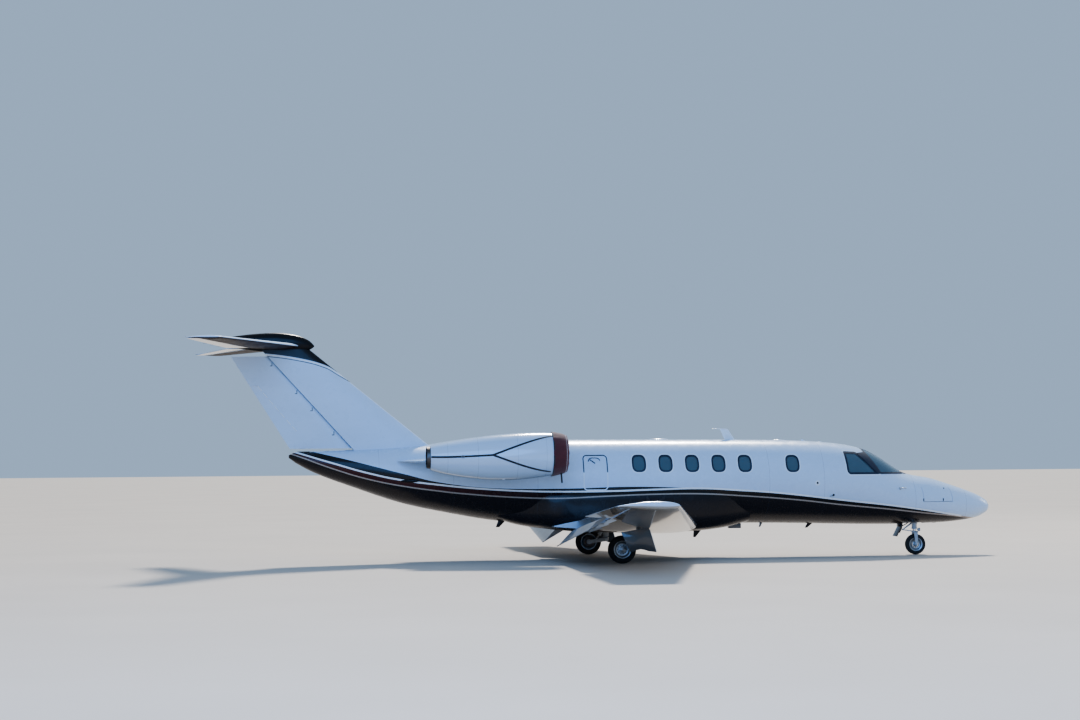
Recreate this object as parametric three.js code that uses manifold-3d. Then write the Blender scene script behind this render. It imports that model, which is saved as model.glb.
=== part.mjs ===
// A twin-engined business jet, parked on its gear with its flaps down.
// Millimetres. +X is the nose, +Y is port, +Z is up, and the ground is Z = 0.
import * as THREE from "three";
import { mergeVertices } from "three/addons/utils/BufferGeometryUtils.js";
import Module from "manifold-3d";

const wasm = await Module();
wasm.setup();

// Gaps between pieces
const SEAT = 0.3;
const RUN = 8;

// Fuselage sections: [x, crown z, keel z, half width]
const FUSELAGE = [
  [-6200, 2130, 2070, 40],
  [-6140, 2190, 2010, 120],
  [-5700, 2202, 1772, 245],
  [-5000, 2225, 1505, 385],
  [-4000, 2275, 1165, 565],
  [-3000, 2325, 945, 715],
  [-2200, 2365, 805, 798],
  [-1350, 2395, 722, 832],
  [0, 2395, 705, 838],
  [3100, 2372, 688, 838],
  [4170, 2345, 668, 830],
  [4800, 2298, 650, 808],
  [5220, 2234, 640, 778],
  [5540, 2132, 634, 748],
  [5850, 1962, 630, 712],
  [6100, 1795, 630, 676],
  [6280, 1690, 632, 645],
  [6480, 1632, 636, 608],
  [6870, 1563, 645, 532],
  [7350, 1412, 672, 418],
  [7840, 1233, 748, 262],
  [8060, 1106, 850, 140],
  [8118, 1024, 918, 58],
  [8130, 975, 965, 6],
];
const RING_POINTS = 32;
const WALL = 90;
const TAIL_WALL = 36;
const LEAST_HALF = 4;
const TAIL_BAY_AFT = -5900;
const AFT_BULKHEAD = -1350;
const COCKPIT_FRAME = 4450;
const NOSE_FRAME = 6400;
const NOSE_TIP = 8130;
const BEYOND = 9000;

// Windows, all on a belt that follows the cabin's slight nose-down line. The corner runs from
// a window's widest point to its top: [across, up]
const WINDOW_CORNER = [[138, 0], [132, 70], [112, 138], [72, 168]];
const WINDOW_BELT = { z: 1912, slope: -0.0085 };
const CABIN_WINDOWS = [683, 1220, 1757, 2294, 2831];
const FORWARD_WINDOW = 3809;
const PANE = { inset: 6, thick: 22 };
const BELT = { thick: 14, high: 440, aft: 430, past: 230, middle: 1912 };

// Cockpit glass outlines in side view: [x, z]
const SIDE_WINDOW = [[4935, 2112], [5190, 2098], [5300, 1990], [5590, 1668], [4990, 1668], [4950, 1720]];
const WINDSHIELD = [[5330, 2420], [5390, 2135], [5452, 2010], [5650, 1668], [6560, 1668], [6560, 2420]];
const WINDSHIELD_POST = 34;
const WINDSHIELD_PANES = { aft: 5200, front: 6700 };

// Doors
const ENTRY_DOOR = { front: 4170, wide: 660, low: 905, high: 2190, hingeY: 864, sweep: 56, steps: 10 };
const EXIT_HATCH = { aft: -430, front: 40, low: 1395, high: 2075, innerY: 300 };
const NOSE_DOOR = { aft: 6560, front: 7180, low: 1090, top: 1380, thick: 32, out: 34 };
const TAIL_DOOR = { aft: -2560, front: -1760, low: 1010, top: 1470, thick: 32, out: 24 };
const DOORWAY = { inwards: 460, outwards: 300 };
const NOSE_BAGGAGE = { aft: 6575, front: 7165, half: 268, low: 1082, top: 1372 };

// Belly fairing sections: [x, bottom z, half width]
const FAIRING = [
  [-2300, 900, 420],
  [-1700, 712, 560],
  [-1100, 618, 830],
  [-400, 556, 872],
  [800, 526, 880],
  [1900, 548, 868],
  [2500, 612, 780],
  [2980, 720, 560],
];
const FAIRING_MIDDLE = 1150;
const FAIRING_RISE = 450;
const FAIRING_ROUND = { top: 0.77, bottom: 0.5 };
const FAIRING_POINTS = 24;

// Wing: leading edge, chord and height at the root and the tip
const WING = {
  rootY: 840, tipY: 7745, innerY: 300,
  rootX: 1820, tipX: 96,
  rootChord: 2880, tipChord: 1064,
  rootZ: 679, tipZ: 1218,
  rootThick: 0.134, tipThick: 0.112, camber: 0.018,
};
// Lip, shroud, nose and the outline's stations are shares of the chord
const FLAP = {
  innerY: 1010, outerY: 4620, lip: 0.745, shroud: 0.835, down: 35, drop: 70, slip: 23,
  nose: 0.012, noseRise: 40, steps: [0.02, 0.07], aftSteps: [0.87, 0.94, 1], tuck: 0.34, tuckAft: 0.02,
};
const COVE = { skin: 7, bend: 29 };
// Arms run from the hinge line to a share of the chord off the lip, and end that deep in the piece
const FLAP_HINGE = {
  stations: [480, 1780, 3080], long: 26, r: 15, armR: 11, share: 0.03,
  wingArm: { share: -0.04, deep: 20 }, flapArm: { share: 0.07, deep: 12 },
};
const AILERON = { innerY: 4760, outerY: 7300, hinge: 0.765 };
const PIN_R = 6;
const PIN_ROOT = 30;

// Fin, rudder and T-tail
const FIN = {
  baseZ: 2180, topZ: 4190,
  baseLe: -3280, topLe: -5760,
  baseHinge: -5010, topHinge: -6790,
  baseTe: -6140, topTe: -7405,
  baseThick: 0.095, topThick: 0.1,
};
const RUDDER = { lowZ: 2254, highZ: 4078, pinRoot: 40 };
const FIN_FOOT = 2100;
const FIN_PAST = 40;
const STABILISER = {
  z: 4285, tipY: 3175,
  rootX: -5975, tipX: -7478,
  rootChord: 1400, tipChord: 652,
  thick: 0.098, slot: 0.002, middle: 400,
};
const ELEVATOR = { innerY: 190, outerY: 3060, hinge: 0.7, droop: 6 };
const BULLET_POINTS = 20;
const BULLET_OVAL = { across: 0.78, up: 1.2 };
const BULLET = [
  [-5700, 4285, 10], [-5780, 4300, 70], [-5950, 4330, 118], [-6200, 4350, 150],
  [-6500, 4360, 160], [-6900, 4362, 140], [-7250, 4372, 95], [-7400, 4388, 60],
];

// Engines
const NACELLE_Y = 1400;
const ROUND = 24;
const NACELLE = [
  [-3520, 2054, 236], [-3300, 2044, 292], [-3060, 2040, 338], [-2700, 2041, 392],
  [-2370, 2046, 430], [-1910, 2063, 452], [-1500, 2086, 445], [-1220, 2103, 425],
  [-1050, 2109, 405], [-940, 2111, 383], [-880, 2112, 355],
];
const DUCT = [
  [-3600, 2056, 208], [-3300, 2046, 232], [-3000, 2050, 262], [-2860, 2060, 290],
  [-2855, 2070, 330], [-1650, 2070, 330], [-1400, 2086, 322], [-1100, 2106, 312],
  [-940, 2111, 318], [-850, 2112, 334],
];
const ENGINE = { aft: -2850, front: -1700 };
const NOZZLE = { aft: -3590, front: -3340, thick: 14 };
// A cover's rings follow the nacelle at these stations, then close over the inlet: [x, radius]
const COVER = {
  thick: 14, on: [-1170, -1100, -1000, -930, -890], past: [[-866, 350], [-846, 290], [-838, 190]],
};
const PYLON = {
  rootAft: -3920, rootFront: -1480, tipAft: -3420, tipFront: -1640,
  z: 2010, thick: 190, rootY: 500, tipY: 1100,
};

// Main gear
const TRACK = 4155;
const WHEEL_SIDES = 28;
// Shares of the half width, and depths below the tread or the rim
const TYRE = { bead: 0.82, widest: 0.45, shoulder: { out: 0.9, down: 16 }, crown: { out: 0.6, down: 2 } };
const WHEEL = { flange: 0.8, lip: 22, dish: 0.35, web: 40, boss: 14, bossOut: 0.7 };
const MAIN = { x: 96, r: 270, wide: 150, rim: 158, hub: 46 };
const LEG = { x: 455, r: 58, armZ: 320, inset: 50, stubs: [330, 560], stubR: 16, past: 200 };
const LEG_PIVOT = { r: 48, inner: 30, outer: 40 };
const LEG_ARM = { r: 44, endR: 38 };
const LEG_AXLE = { inner: 34, outer: 30 };
const DAMPER = { topX: 435, topZ: 585, footX: 220, footZ: 300, r: 34, lugZ: 572, lugR: 30 };
const LEG_DOOR = [[50, 600], [560, 690], [600, 660], [730, 215], [560, 262], [330, 232]];
const LEG_DOOR_OUT = 178;
const LEG_DOOR_THICK = 26;

// Nose gear
const NOSE_GEAR = { x: 6562, r: 210, wide: 112, rim: 128, hub: 34, strutX: 6548 };
const STRUT = { r: 52, pistonR: 36, splitZ: 520 };
const FORK = {
  crownZ: 462, crownHalf: 42, crownThick: 24, bladeY: 76, bladeThick: 20,
  bladeTop: 40, bladeFoot: 30, bladeOverlap: 4, axlePast: 30,
};
const NOSE_BAY = { aft: 6240, front: 6720, half: 150, roof: 820 };
const NOSE_GEAR_DOOR = [[6240.3, 668], [6262, 668], [6262, 610], [6142, 372], [6126, 380], [6240.3, 606]];
const NOSE_GEAR_DOOR_HALF = 138;

// Inside
const FLOOR = { z: 985, thick: 60, aft: -1250, front: 5350 };
// A seat's side outline and its base, from the backrest's rear and the floor
const SEAT_CUSHION = [[-20, 300], [0, 240], [480, 260], [500, 390], [120, 400]];
const SEAT_BACK = { frontTop: -20, rearTop: -110, rake: 10 };
const SEAT_BASE = { aft: 90, front: 420, half: 120, high: 260 };
const PANEL = {
  aft: 5200, front: 5900, half: 700,
  outline: [[5380, 985.3], [5560, 985.3], [5720, 1640], [5420, 1640], [5340, 1560]],
};
const SEATS = [
  // x of the backrest's rear, y, width, height of the back above the floor
  { name: "pilot_seat_port", x: 4680, y: 320, wide: 420, high: 880 },
  { name: "pilot_seat_starboard", x: 4680, y: -320, wide: 420, high: 880 },
  { name: "cabin_seat_1", x: 1980, y: 330, wide: 460, high: 860 },
  { name: "cabin_seat_2", x: 1980, y: -330, wide: 460, high: 860 },
  { name: "cabin_seat_3", x: 620, y: 330, wide: 460, high: 860 },
  { name: "cabin_seat_4", x: 620, y: -330, wide: 460, high: 860 },
];

const MATERIALS = {
  white: { color: 0xeef1f4, roughness: 0.25, metalness: 0.0 },
  dark: { color: 0x1c1c20, roughness: 0.3, metalness: 0.0 },
  glass: { color: 0x2c3a44, roughness: 0.08, metalness: 0.0 },
  metal: { color: 0xb9bcc0, roughness: 0.35, metalness: 0.9 },
  burnt: { color: 0x3a3532, roughness: 0.5, metalness: 0.8 },
  rubber: { color: 0x191919, roughness: 0.9, metalness: 0.0 },
  cloth: { color: 0x5e2229, roughness: 0.9, metalness: 0.0 },
  leather: { color: 0xb8a98f, roughness: 0.6, metalness: 0.0 },
  grey: { color: 0x8d949c, roughness: 0.5, metalness: 0.1 },
};

const group = new THREE.Group();

// Solids and shapes

function solid(geometry) {
  const bare = geometry.clone();
  bare.deleteAttribute("normal");
  bare.deleteAttribute("uv");
  const merged = mergeVertices(bare, 1e-3);
  return new wasm.Manifold(new wasm.Mesh({
    numProp: 3,
    vertProperties: new Float32Array(merged.attributes.position.array),
    triVerts: new Uint32Array(merged.index.array),
  }));
}

function geometryOf(manifold) {
  const mesh = manifold.getMesh();
  const geometry = new THREE.BufferGeometry();
  geometry.setAttribute("position", new THREE.BufferAttribute(new Float32Array(mesh.vertProperties), 3));
  geometry.setIndex(new THREE.BufferAttribute(new Uint32Array(mesh.triVerts), 1));
  return geometry;
}

function place(name, material, shape) {
  const geometry = shape.isBufferGeometry ? shape : geometryOf(shape);
  const mesh = new THREE.Mesh(geometry, new THREE.MeshStandardMaterial(MATERIALS[material]));
  mesh.name = name;
  group.add(mesh);
  return mesh;
}

// A closed skin through rings of equal length, from the first to the last
function loft(rings) {
  const count = rings[0].length;
  const points = rings.flat();
  const faces = [];
  for (let i = 0; i + 1 < rings.length; i += 1) {
    for (let j = 0; j < count; j += 1) {
      const a = i * count + j;
      const b = i * count + ((j + 1) % count);
      if (j < count / 2) {
        faces.push(a, b, b + count, a, b + count, a + count);
      } else {
        faces.push(a, b, a + count, b, b + count, a + count);
      }
    }
  }
  const last = (rings.length - 1) * count;
  for (const [base, flip] of [[0, true], [last, false]]) {
    const flat = rings[base / count];
    const centre = new THREE.Vector3();
    flat.forEach((p) => centre.add(p));
    points.push(centre.divideScalar(count));
    const hub = points.length - 1;
    for (let j = 0; j < count; j += 1) {
      const a = base + j;
      const b = base + ((j + 1) % count);
      faces.push(...(flip ? [hub, b, a] : [hub, a, b]));
    }
  }
  const geometry = new THREE.BufferGeometry().setFromPoints(points);
  geometry.setIndex(faces);
  const made = solid(geometry);
  if (made.volume() > 0) {
    return made;
  }
  for (let i = 0; i < faces.length; i += 3) {
    [faces[i + 1], faces[i + 2]] = [faces[i + 2], faces[i + 1]];
  }
  geometry.setIndex(faces);
  return solid(geometry);
}

// Prisms of a closed outline: the plane's two letters, then the span along the third
function prism(plane, outline, from, to) {
  const shape = new THREE.Shape(outline.map(([a, b]) => new THREE.Vector2(a, b)));
  const geometry = new THREE.ExtrudeGeometry(shape, { depth: to - from, bevelEnabled: false });
  const X = new THREE.Vector3(1, 0, 0);
  const Y = new THREE.Vector3(0, 1, 0);
  const Z = new THREE.Vector3(0, 0, 1);
  const turn = new THREE.Matrix4();
  if (plane === "xz") {
    turn.makeBasis(X, Z, Y.clone().negate()).setPosition(0, to, 0);
  } else if (plane === "yz") {
    turn.makeBasis(Y, Z, X).setPosition(from, 0, 0);
  } else {
    turn.makeBasis(X, Y, Z).setPosition(0, 0, from);
  }
  return solid(geometry.applyMatrix4(turn));
}

function block(x0, x1, y0, y1, z0, z1) {
  const geometry = new THREE.BoxGeometry(x1 - x0, y1 - y0, z1 - z0);
  return solid(geometry.translate((x0 + x1) / 2, (y0 + y1) / 2, (z0 + z1) / 2));
}

// A solid of revolution about a line along X, Y or Z through a point: [along, radius] pairs
function turned(axis, centre, profile, segments = WHEEL_SIDES) {
  const points = profile.map(([along, radius]) => new THREE.Vector2(radius, along));
  const geometry = new THREE.LatheGeometry(points, segments);
  if (axis === "x") {
    geometry.rotateZ(-Math.PI / 2);
  } else if (axis === "z") {
    geometry.rotateX(Math.PI / 2);
  }
  geometry.translate(...centre);
  const made = solid(geometry);
  return made.volume() > 0 ? made : solid(flipped(geometry));
}

function flipped(geometry) {
  const copy = geometry.clone();
  const index = copy.index.array;
  for (let i = 0; i < index.length; i += 3) {
    [index[i + 1], index[i + 2]] = [index[i + 2], index[i + 1]];
  }
  return copy;
}

// A round bar from one point to another
function bar(from, to, r0, r1 = r0, segments = 12) {
  const a = new THREE.Vector3(...from);
  const b = new THREE.Vector3(...to);
  const geometry = new THREE.CylinderGeometry(r1, r0, a.distanceTo(b), segments);
  const up = new THREE.Vector3(0, 1, 0);
  geometry.applyQuaternion(new THREE.Quaternion().setFromUnitVectors(up, b.clone().sub(a).normalize()));
  return solid(geometry.translate(...a.add(b).multiplyScalar(0.5).toArray()));
}

function rotated(shape, point, axis, degrees) {
  const about = new THREE.Vector3(...axis).normalize();
  const turn = new THREE.Matrix4().makeRotationAxis(about, (degrees * Math.PI) / 180);
  const there = new THREE.Matrix4().makeTranslation(...point);
  const back = new THREE.Matrix4().makeTranslation(...point.map((v) => -v));
  return shape.transform(there.multiply(turn).multiply(back).toArray());
}

function mirrored(shape) {
  return shape.mirror([0, 1, 0]);
}

function largest(shape) {
  return shape.decompose().sort((a, b) => b.volume() - a.volume())[0];
}

// A pin on a hinge line, from inside its piece to just short of a face with the given normal
function pinTo(inside, direction, normal, face) {
  const lean = direction.dot(normal);
  const rim = PIN_R * Math.sqrt(1 - lean * lean);
  const run = (face - SEAT - rim - inside.dot(normal)) / lean;
  const end = inside.clone().addScaledVector(direction, run);
  return bar(inside.toArray(), end.toArray(), PIN_R, PIN_R, 8);
}

// A value between table rows, smooth through them
function between(table, x, column) {
  const last = table.length - 1;
  const at = Math.min(Math.max(x, table[0][0]), table[last][0]);
  let i = 0;
  while (i < last - 1 && at > table[i + 1][0]) {
    i += 1;
  }
  const slope = (k) => {
    const lo = Math.max(k - 1, 0);
    const hi = Math.min(k + 1, last);
    return (table[hi][column] - table[lo][column]) / (table[hi][0] - table[lo][0]);
  };
  const span = table[i + 1][0] - table[i][0];
  const t = (at - table[i][0]) / span;
  const [p, q] = [table[i][column], table[i + 1][column]];
  const [m, n] = [slope(i) * span, slope(i + 1) * span];
  return p * (2 * t ** 3 - 3 * t * t + 1) + m * (t ** 3 - 2 * t * t + t)
    + q * (3 * t * t - 2 * t ** 3) + n * (t ** 3 - t * t);
}

// Fuselage

function fuselageRing(x, inset = 0) {
  const count = RING_POINTS;
  const crown = between(FUSELAGE, x, 1) - inset;
  const keel = between(FUSELAGE, x, 2) + inset;
  const half = between(FUSELAGE, x, 3) - inset;
  const middle = (crown + keel) / 2;
  return Array.from({ length: count }, (_, j) => {
    const angle = (2 * Math.PI * j) / count;
    return new THREE.Vector3(x, half * Math.sin(angle), middle + ((crown - keel) / 2) * Math.cos(angle));
  });
}

// The whole skin moved in by a distance, cut to a stretch of the length
function fuselageLoft(from, to, inset = 0) {
  const least = inset + LEAST_HALF;
  const rings = FUSELAGE.filter(([, crown, keel, half]) => Math.min((crown - keel) / 2, half) > least);
  const whole = loft(rings.map(([x]) => fuselageRing(x, inset)));
  return whole.intersect(block(from, to, -BEYOND, BEYOND, -BEYOND, BEYOND));
}

const wholeSkin = (inset) => fuselageLoft(-BEYOND, BEYOND, inset);
const hull = loft(FUSELAGE.map(([x]) => fuselageRing(x, -SEAT)));

function windowOutline(x, grow = 0) {
  const z = WINDOW_BELT.z + WINDOW_BELT.slope * (x - CABIN_WINDOWS[0]);
  const wide = WINDOW_CORNER[0][0];
  const high = WINDOW_CORNER[WINDOW_CORNER.length - 1][1];
  const upper = WINDOW_CORNER.map(([a, b]) => [a + grow * (a / wide), b + grow * (b / high)]);
  const quarter = (sx, sz) => upper.map(([a, b]) => [x + sx * a, z + sz * b]);
  return [
    ...quarter(1, 1),
    ...quarter(-1, 1).reverse(),
    ...quarter(-1, -1).slice(1),
    ...quarter(1, -1).reverse().slice(0, -1),
  ];
}

function layer(from, to, outer, inner) {
  return fuselageLoft(from, to, outer).subtract(fuselageLoft(-BEYOND, BEYOND, inner));
}

const portCut = [0, BEYOND];
const starboardCut = [-BEYOND, 0];

// Entry door: its edges are struck about its hinge line, so that it swings clear
function doorway(grow) {
  const { front, wide, hingeY, sweep, steps } = ENTRY_DOOR;
  const outline = [];
  const r = wide + grow;
  for (let i = 0; i <= steps; i += 1) {
    const angle = Math.PI + (i / steps) * THREE.MathUtils.degToRad(sweep);
    outline.push([front + r * Math.cos(angle), hingeY + r * Math.sin(angle)]);
  }
  const jamb = front + Math.min(grow, SEAT);
  outline.push([jamb, outline[outline.length - 1][1]], [jamb, hingeY]);
  return prism("xy", outline, ENTRY_DOOR.low - grow, ENTRY_DOOR.high + grow);
}

const cabinWall = layer(AFT_BULKHEAD, COCKPIT_FRAME, 0, WALL);
let cabin = cabinWall;
for (const x of CABIN_WINDOWS) {
  cabin = cabin.subtract(prism("xz", windowOutline(x), ...portCut));
}
for (const x of [...CABIN_WINDOWS, FORWARD_WINDOW]) {
  cabin = cabin.subtract(prism("xz", windowOutline(x), ...starboardCut));
}
const exitCut = (grow) => block(
  EXIT_HATCH.aft - grow, EXIT_HATCH.front + grow, -BEYOND, -EXIT_HATCH.innerY,
  EXIT_HATCH.low - grow, EXIT_HATCH.high + grow,
);
place("cabin_shell", "white", cabin.subtract(doorway(RUN)).subtract(exitCut(SEAT)));
place("entry_door", "white", cabinWall.intersect(doorway(0)));
place("emergency_exit", "white", cabinWall.intersect(exitCut(0)));

// Cockpit shell and its glass
const postSides = [-WINDSHIELD_POST, WINDSHIELD_POST];
const postCut = block(WINDSHIELD_PANES.aft, WINDSHIELD_PANES.front, ...postSides, -BEYOND, BEYOND);
const paneLayer = layer(COCKPIT_FRAME, WINDSHIELD_PANES.front, PANE.inset, PANE.inset + PANE.thick);
const acrossBoth = [-BEYOND, BEYOND];
const shrink = (outline, gap) => {
  const cx = outline.reduce((s, p) => s + p[0], 0) / outline.length;
  const cz = outline.reduce((s, p) => s + p[1], 0) / outline.length;
  return outline.map(([x, z]) => [x + (x < cx ? gap : -gap), z + (z < cz ? gap : -gap)]);
};
let cockpit = layer(COCKPIT_FRAME + SEAT, NOSE_FRAME, 0, WALL);
const wheelBay = block(NOSE_BAY.aft, NOSE_BAY.front, -NOSE_BAY.half, NOSE_BAY.half, 0, NOSE_BAY.roof);
cockpit = cockpit.subtract(wheelBay);
const windshieldCut = prism("xz", WINDSHIELD, ...acrossBoth).subtract(postCut);
cockpit = cockpit.subtract(windshieldCut).subtract(prism("xz", SIDE_WINDOW, ...acrossBoth));
place("cockpit_shell", "white", cockpit);

// Nose section, with its wheel bay, and its baggage bay between two doors
let nose = fuselageLoft(NOSE_FRAME + SEAT, NOSE_TIP);
nose = nose.subtract(wheelBay).subtract(block(
  NOSE_BAGGAGE.aft, NOSE_BAGGAGE.front, -NOSE_BAGGAGE.half, NOSE_BAGGAGE.half,
  NOSE_BAGGAGE.low, NOSE_BAGGAGE.top,
));

// Half width of the skin at a station and a height
function skinAt(x, z) {
  const [crown, keel, half] = [1, 2, 3].map((column) => between(FUSELAGE, x, column));
  const rise = (z - (crown + keel) / 2) / ((crown - keel) / 2);
  return half * Math.sqrt(Math.max(0, 1 - rise * rise));
}

// A side door is a panel of the skin that swings up about a line just outside its top edge,
// so its ends are cut square to that line. What is returned is its doorway, cut well inwards
function sideDoor(name, door, side) {
  const ends = [door.aft, door.front].map((x) => new THREE.Vector2(x, skinAt(x, door.top) + door.out));
  const along = ends[1].clone().sub(ends[0]).normalize();
  const out = new THREE.Vector2(-along.y, along.x);
  const cut = (grow) => {
    const { inwards, outwards } = DOORWAY;
    const corners = [[0, -grow, -inwards], [1, grow, -inwards], [1, grow, outwards], [0, -grow, outwards]];
    const outline = corners.map(([end, run, reach]) => {
      const p = ends[end].clone().addScaledVector(along, run).addScaledVector(out, reach);
      return [p.x, side * p.y];
    });
    const top = door.top + Math.min(grow, SEAT);
    return prism("xy", side > 0 ? outline : outline.reverse(), door.low - grow, top);
  };
  const panel = wholeSkin(0).subtract(wholeSkin(door.thick)).intersect(cut(0));
  place(name, "white", panel);
  return cut(RUN);
}

nose = nose.subtract(sideDoor("nose_door_port", NOSE_DOOR, 1));
nose = nose.subtract(sideDoor("nose_door_starboard", NOSE_DOOR, -1));
place("nose_section", "white", nose);

// Windows: one set of panes for each side, held by the inner belt panel
function paneSet(side, stations) {
  const y = side > 0 ? portCut : starboardCut;
  const inner = wholeSkin(WALL + SEAT + BELT.thick);
  const skin = wholeSkin(PANE.inset).subtract(inner);
  const backing = wholeSkin(WALL + SEAT).subtract(inner);
  const last = stations[stations.length - 1] + BELT.past;
  const half = BELT.high / 2;
  const belt = backing.intersect(block(BELT.aft, last, ...y, BELT.middle - half, BELT.middle + half));
  let panes = belt;
  for (const x of stations) {
    panes = panes.add(skin.intersect(prism("xz", windowOutline(x, -SEAT), ...y)));
  }
  return panes;
}
place("cabin_windows_port", "glass", paneSet(1, CABIN_WINDOWS));
place("cabin_windows_starboard", "glass", paneSet(-1, [...CABIN_WINDOWS, FORWARD_WINDOW]));

for (const [name, side] of [["port", 1], ["starboard", -1]]) {
  const y = side > 0 ? [WINDSHIELD_POST + SEAT, BEYOND] : [-BEYOND, -WINDSHIELD_POST - SEAT];
  place(`windshield_${name}`, "glass", paneLayer.intersect(prism("xz", shrink(WINDSHIELD, SEAT), ...y)));
  place(`side_window_${name}`, "glass", paneLayer.intersect(prism("xz", shrink(SIDE_WINDOW, SEAT), ...y)));
}

// Tail shell, open in front where it meets the cabin's aft bulkhead
let tail = fuselageLoft(FUSELAGE[0][0], AFT_BULKHEAD - SEAT);
tail = tail.subtract(fuselageLoft(TAIL_BAY_AFT, BEYOND, TAIL_WALL));
place("tail_shell", "white", tail.subtract(sideDoor("tail_door_port", TAIL_DOOR, 1)));

// Belly fairing
function fairingLoft(grow) {
  return loft(FAIRING.map(([x, low, half]) => Array.from({ length: FAIRING_POINTS }, (_, j) => {
    const angle = (2 * Math.PI * j) / FAIRING_POINTS;
    const s = Math.sin(angle);
    const c = Math.cos(angle);
    const round = c > 0 ? FAIRING_ROUND.top : FAIRING_ROUND.bottom;
    const y = (half + grow) * Math.sign(s) * Math.abs(s) ** round;
    const reach = c > 0 ? FAIRING_RISE : FAIRING_MIDDLE - low;
    return new THREE.Vector3(x, y, FAIRING_MIDDLE + (reach + grow) * Math.sign(c) * Math.abs(c) ** round);
  })));
}
const fairing = fairingLoft(0).subtract(hull);
place("belly_fairing", "dark", fairing);

// Wings, level under the belly and then rising to the tips
function wingAt(y) {
  const s = Math.max(0, y - WING.rootY) / (WING.tipY - WING.rootY);
  const mix = (a, b) => a + (b - a) * s;
  return {
    y,
    x: mix(WING.rootX, WING.tipX),
    z: mix(WING.rootZ, WING.tipZ),
    chord: mix(WING.rootChord, WING.tipChord),
    thick: mix(WING.rootThick, WING.tipThick),
    camber: WING.camber,
  };
}

const TRAILING = 0.004;
function halfThickness(f, thick) {
  const form = 0.2969 * Math.sqrt(f) - 0.126 * f - 0.3516 * f ** 2 + 0.2843 * f ** 3 - 0.1015 * f ** 4;
  return 5 * thick * form + TRAILING * f * 0.5;
}
const camberAt = (f, camber) => 4 * camber * f * (1 - f);

function foilPoint(section, f, side) {
  const z = camberAt(f, section.camber) + side * halfThickness(f, section.thick);
  return new THREE.Vector3(section.x - f * section.chord, section.y, section.z + z * section.chord);
}

const FOIL_STEPS = [0, 0.006, 0.03, 0.08, 0.16, 0.3, 0.45, 0.6, 0.75, 0.88, 1];
function foilRing(section) {
  const upper = FOIL_STEPS.map((f) => foilPoint(section, f, 1));
  const lower = FOIL_STEPS.slice(1).reverse().map((f) => foilPoint(section, f, -1));
  return [...upper, ...lower];
}

// A hinged surface's section: a round nose about the hinge, then straight to the trailing edge
function hingedRing(section, hinge, stretch = 1) {
  const r = halfThickness(hinge, section.thick) * section.chord;
  const centre = foilPoint(section, hinge, 0);
  centre.z = section.z + camberAt(hinge, section.camber) * section.chord;
  const ring = [];
  for (let i = 0; i <= 6; i += 1) {
    const angle = Math.PI / 2 - (i / 6) * Math.PI;
    const ahead = r * stretch * Math.cos(angle);
    ring.push(new THREE.Vector3(centre.x + ahead, section.y, centre.z + r * Math.sin(angle)));
  }
  for (const f of [0.88, 1]) {
    if (f > hinge + 0.05) {
      ring.push(foilPoint(section, f, -1));
    }
  }
  for (const f of [1, 0.88]) {
    if (f > hinge + 0.05) {
      ring.push(foilPoint(section, f, 1));
    }
  }
  return { ring, centre, r };
}

// The space aft of a line across a foil, for a hinged surface to move in
function cove(inner, outer, lipAt, shroudAt) {
  return loft([inner, outer].map((section) => {
    const low = foilPoint(section, lipAt, -1);
    const high = foilPoint(section, shroudAt, 1);
    const bend = foilPoint(section, lipAt, 1);
    return [
      [low.x, low.z - section.chord], [bend.x, bend.z - COVE.bend], [high.x, high.z - COVE.skin],
      [high.x, high.z + section.chord], [high.x - section.chord, high.z + section.chord],
      [low.x - section.chord, low.z - section.chord],
    ].map(([x, z]) => new THREE.Vector3(x, section.y, z));
  }));
}

const wingBody = loft([WING.innerY, WING.rootY, WING.tipY].map((y) => foilRing(wingAt(y))));
let wing = largest(wingBody.subtract(hull).subtract(fairingLoft(SEAT)));
wing = wing.subtract(cove(wingAt(FLAP.innerY), wingAt(FLAP.outerY), FLAP.lip, FLAP.shroud));

// Flap: stowed in its cove, then turned down about a hinge below the lip
function flapRing(section) {
  const nose = FLAP.lip + FLAP.nose;
  const steps = [nose, ...FLAP.steps.map((f) => nose + f), ...FLAP.aftSteps];
  const lift = (f) => Math.max(0, FLAP.shroud + FLAP.tuckAft - f) * FLAP.tuck * section.chord;
  const low = steps.map((f) => foilPoint(section, f, -1));
  const high = steps.slice(1).map((f) => {
    const p = foilPoint(section, f, 1);
    p.z -= FLAP.slip + lift(f);
    return f === 1 ? foilPoint(section, f, 1) : p;
  });
  low[0].z += FLAP.noseRise;
  return [...low, ...high.reverse()];
}
const flapInner = wingAt(FLAP.innerY + RUN);
const flapOuter = wingAt(FLAP.outerY - RUN);
const hingePoint = (section) => {
  const p = foilPoint(section, FLAP.lip + FLAP_HINGE.share, -1);
  p.z -= FLAP.drop;
  return p;
};
const flapPivot = hingePoint(flapInner);
const flapAxis = hingePoint(flapOuter).sub(flapPivot).normalize();
let flapStowed = loft([flapRing(flapInner), flapRing(flapOuter)]);
for (const along of FLAP_HINGE.stations) {
  const at = (distance) => flapPivot.clone().addScaledVector(flapAxis, along + distance);
  const knuckle = (from, to) => bar(at(from).toArray(), at(to).toArray(), FLAP_HINGE.r, FLAP_HINGE.r, 8);
  const arm = (middle, { share, deep }) => {
    const foot = foilPoint(wingAt(middle.y), FLAP.lip + share, -1);
    foot.z += deep;
    return bar(middle.toArray(), foot.toArray(), FLAP_HINGE.armR, FLAP_HINGE.armR, 6);
  };
  const { long, wingArm, flapArm } = FLAP_HINGE;
  wing = wing.add(knuckle(-long, -SEAT)).add(arm(at(-long / 2), wingArm));
  flapStowed = flapStowed.add(knuckle(0, long)).add(arm(at(long / 2), flapArm));
}
const flap = rotated(flapStowed, flapPivot.toArray(), flapAxis.toArray(), -FLAP.down);
place("flap_port", "white", flap);
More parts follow.
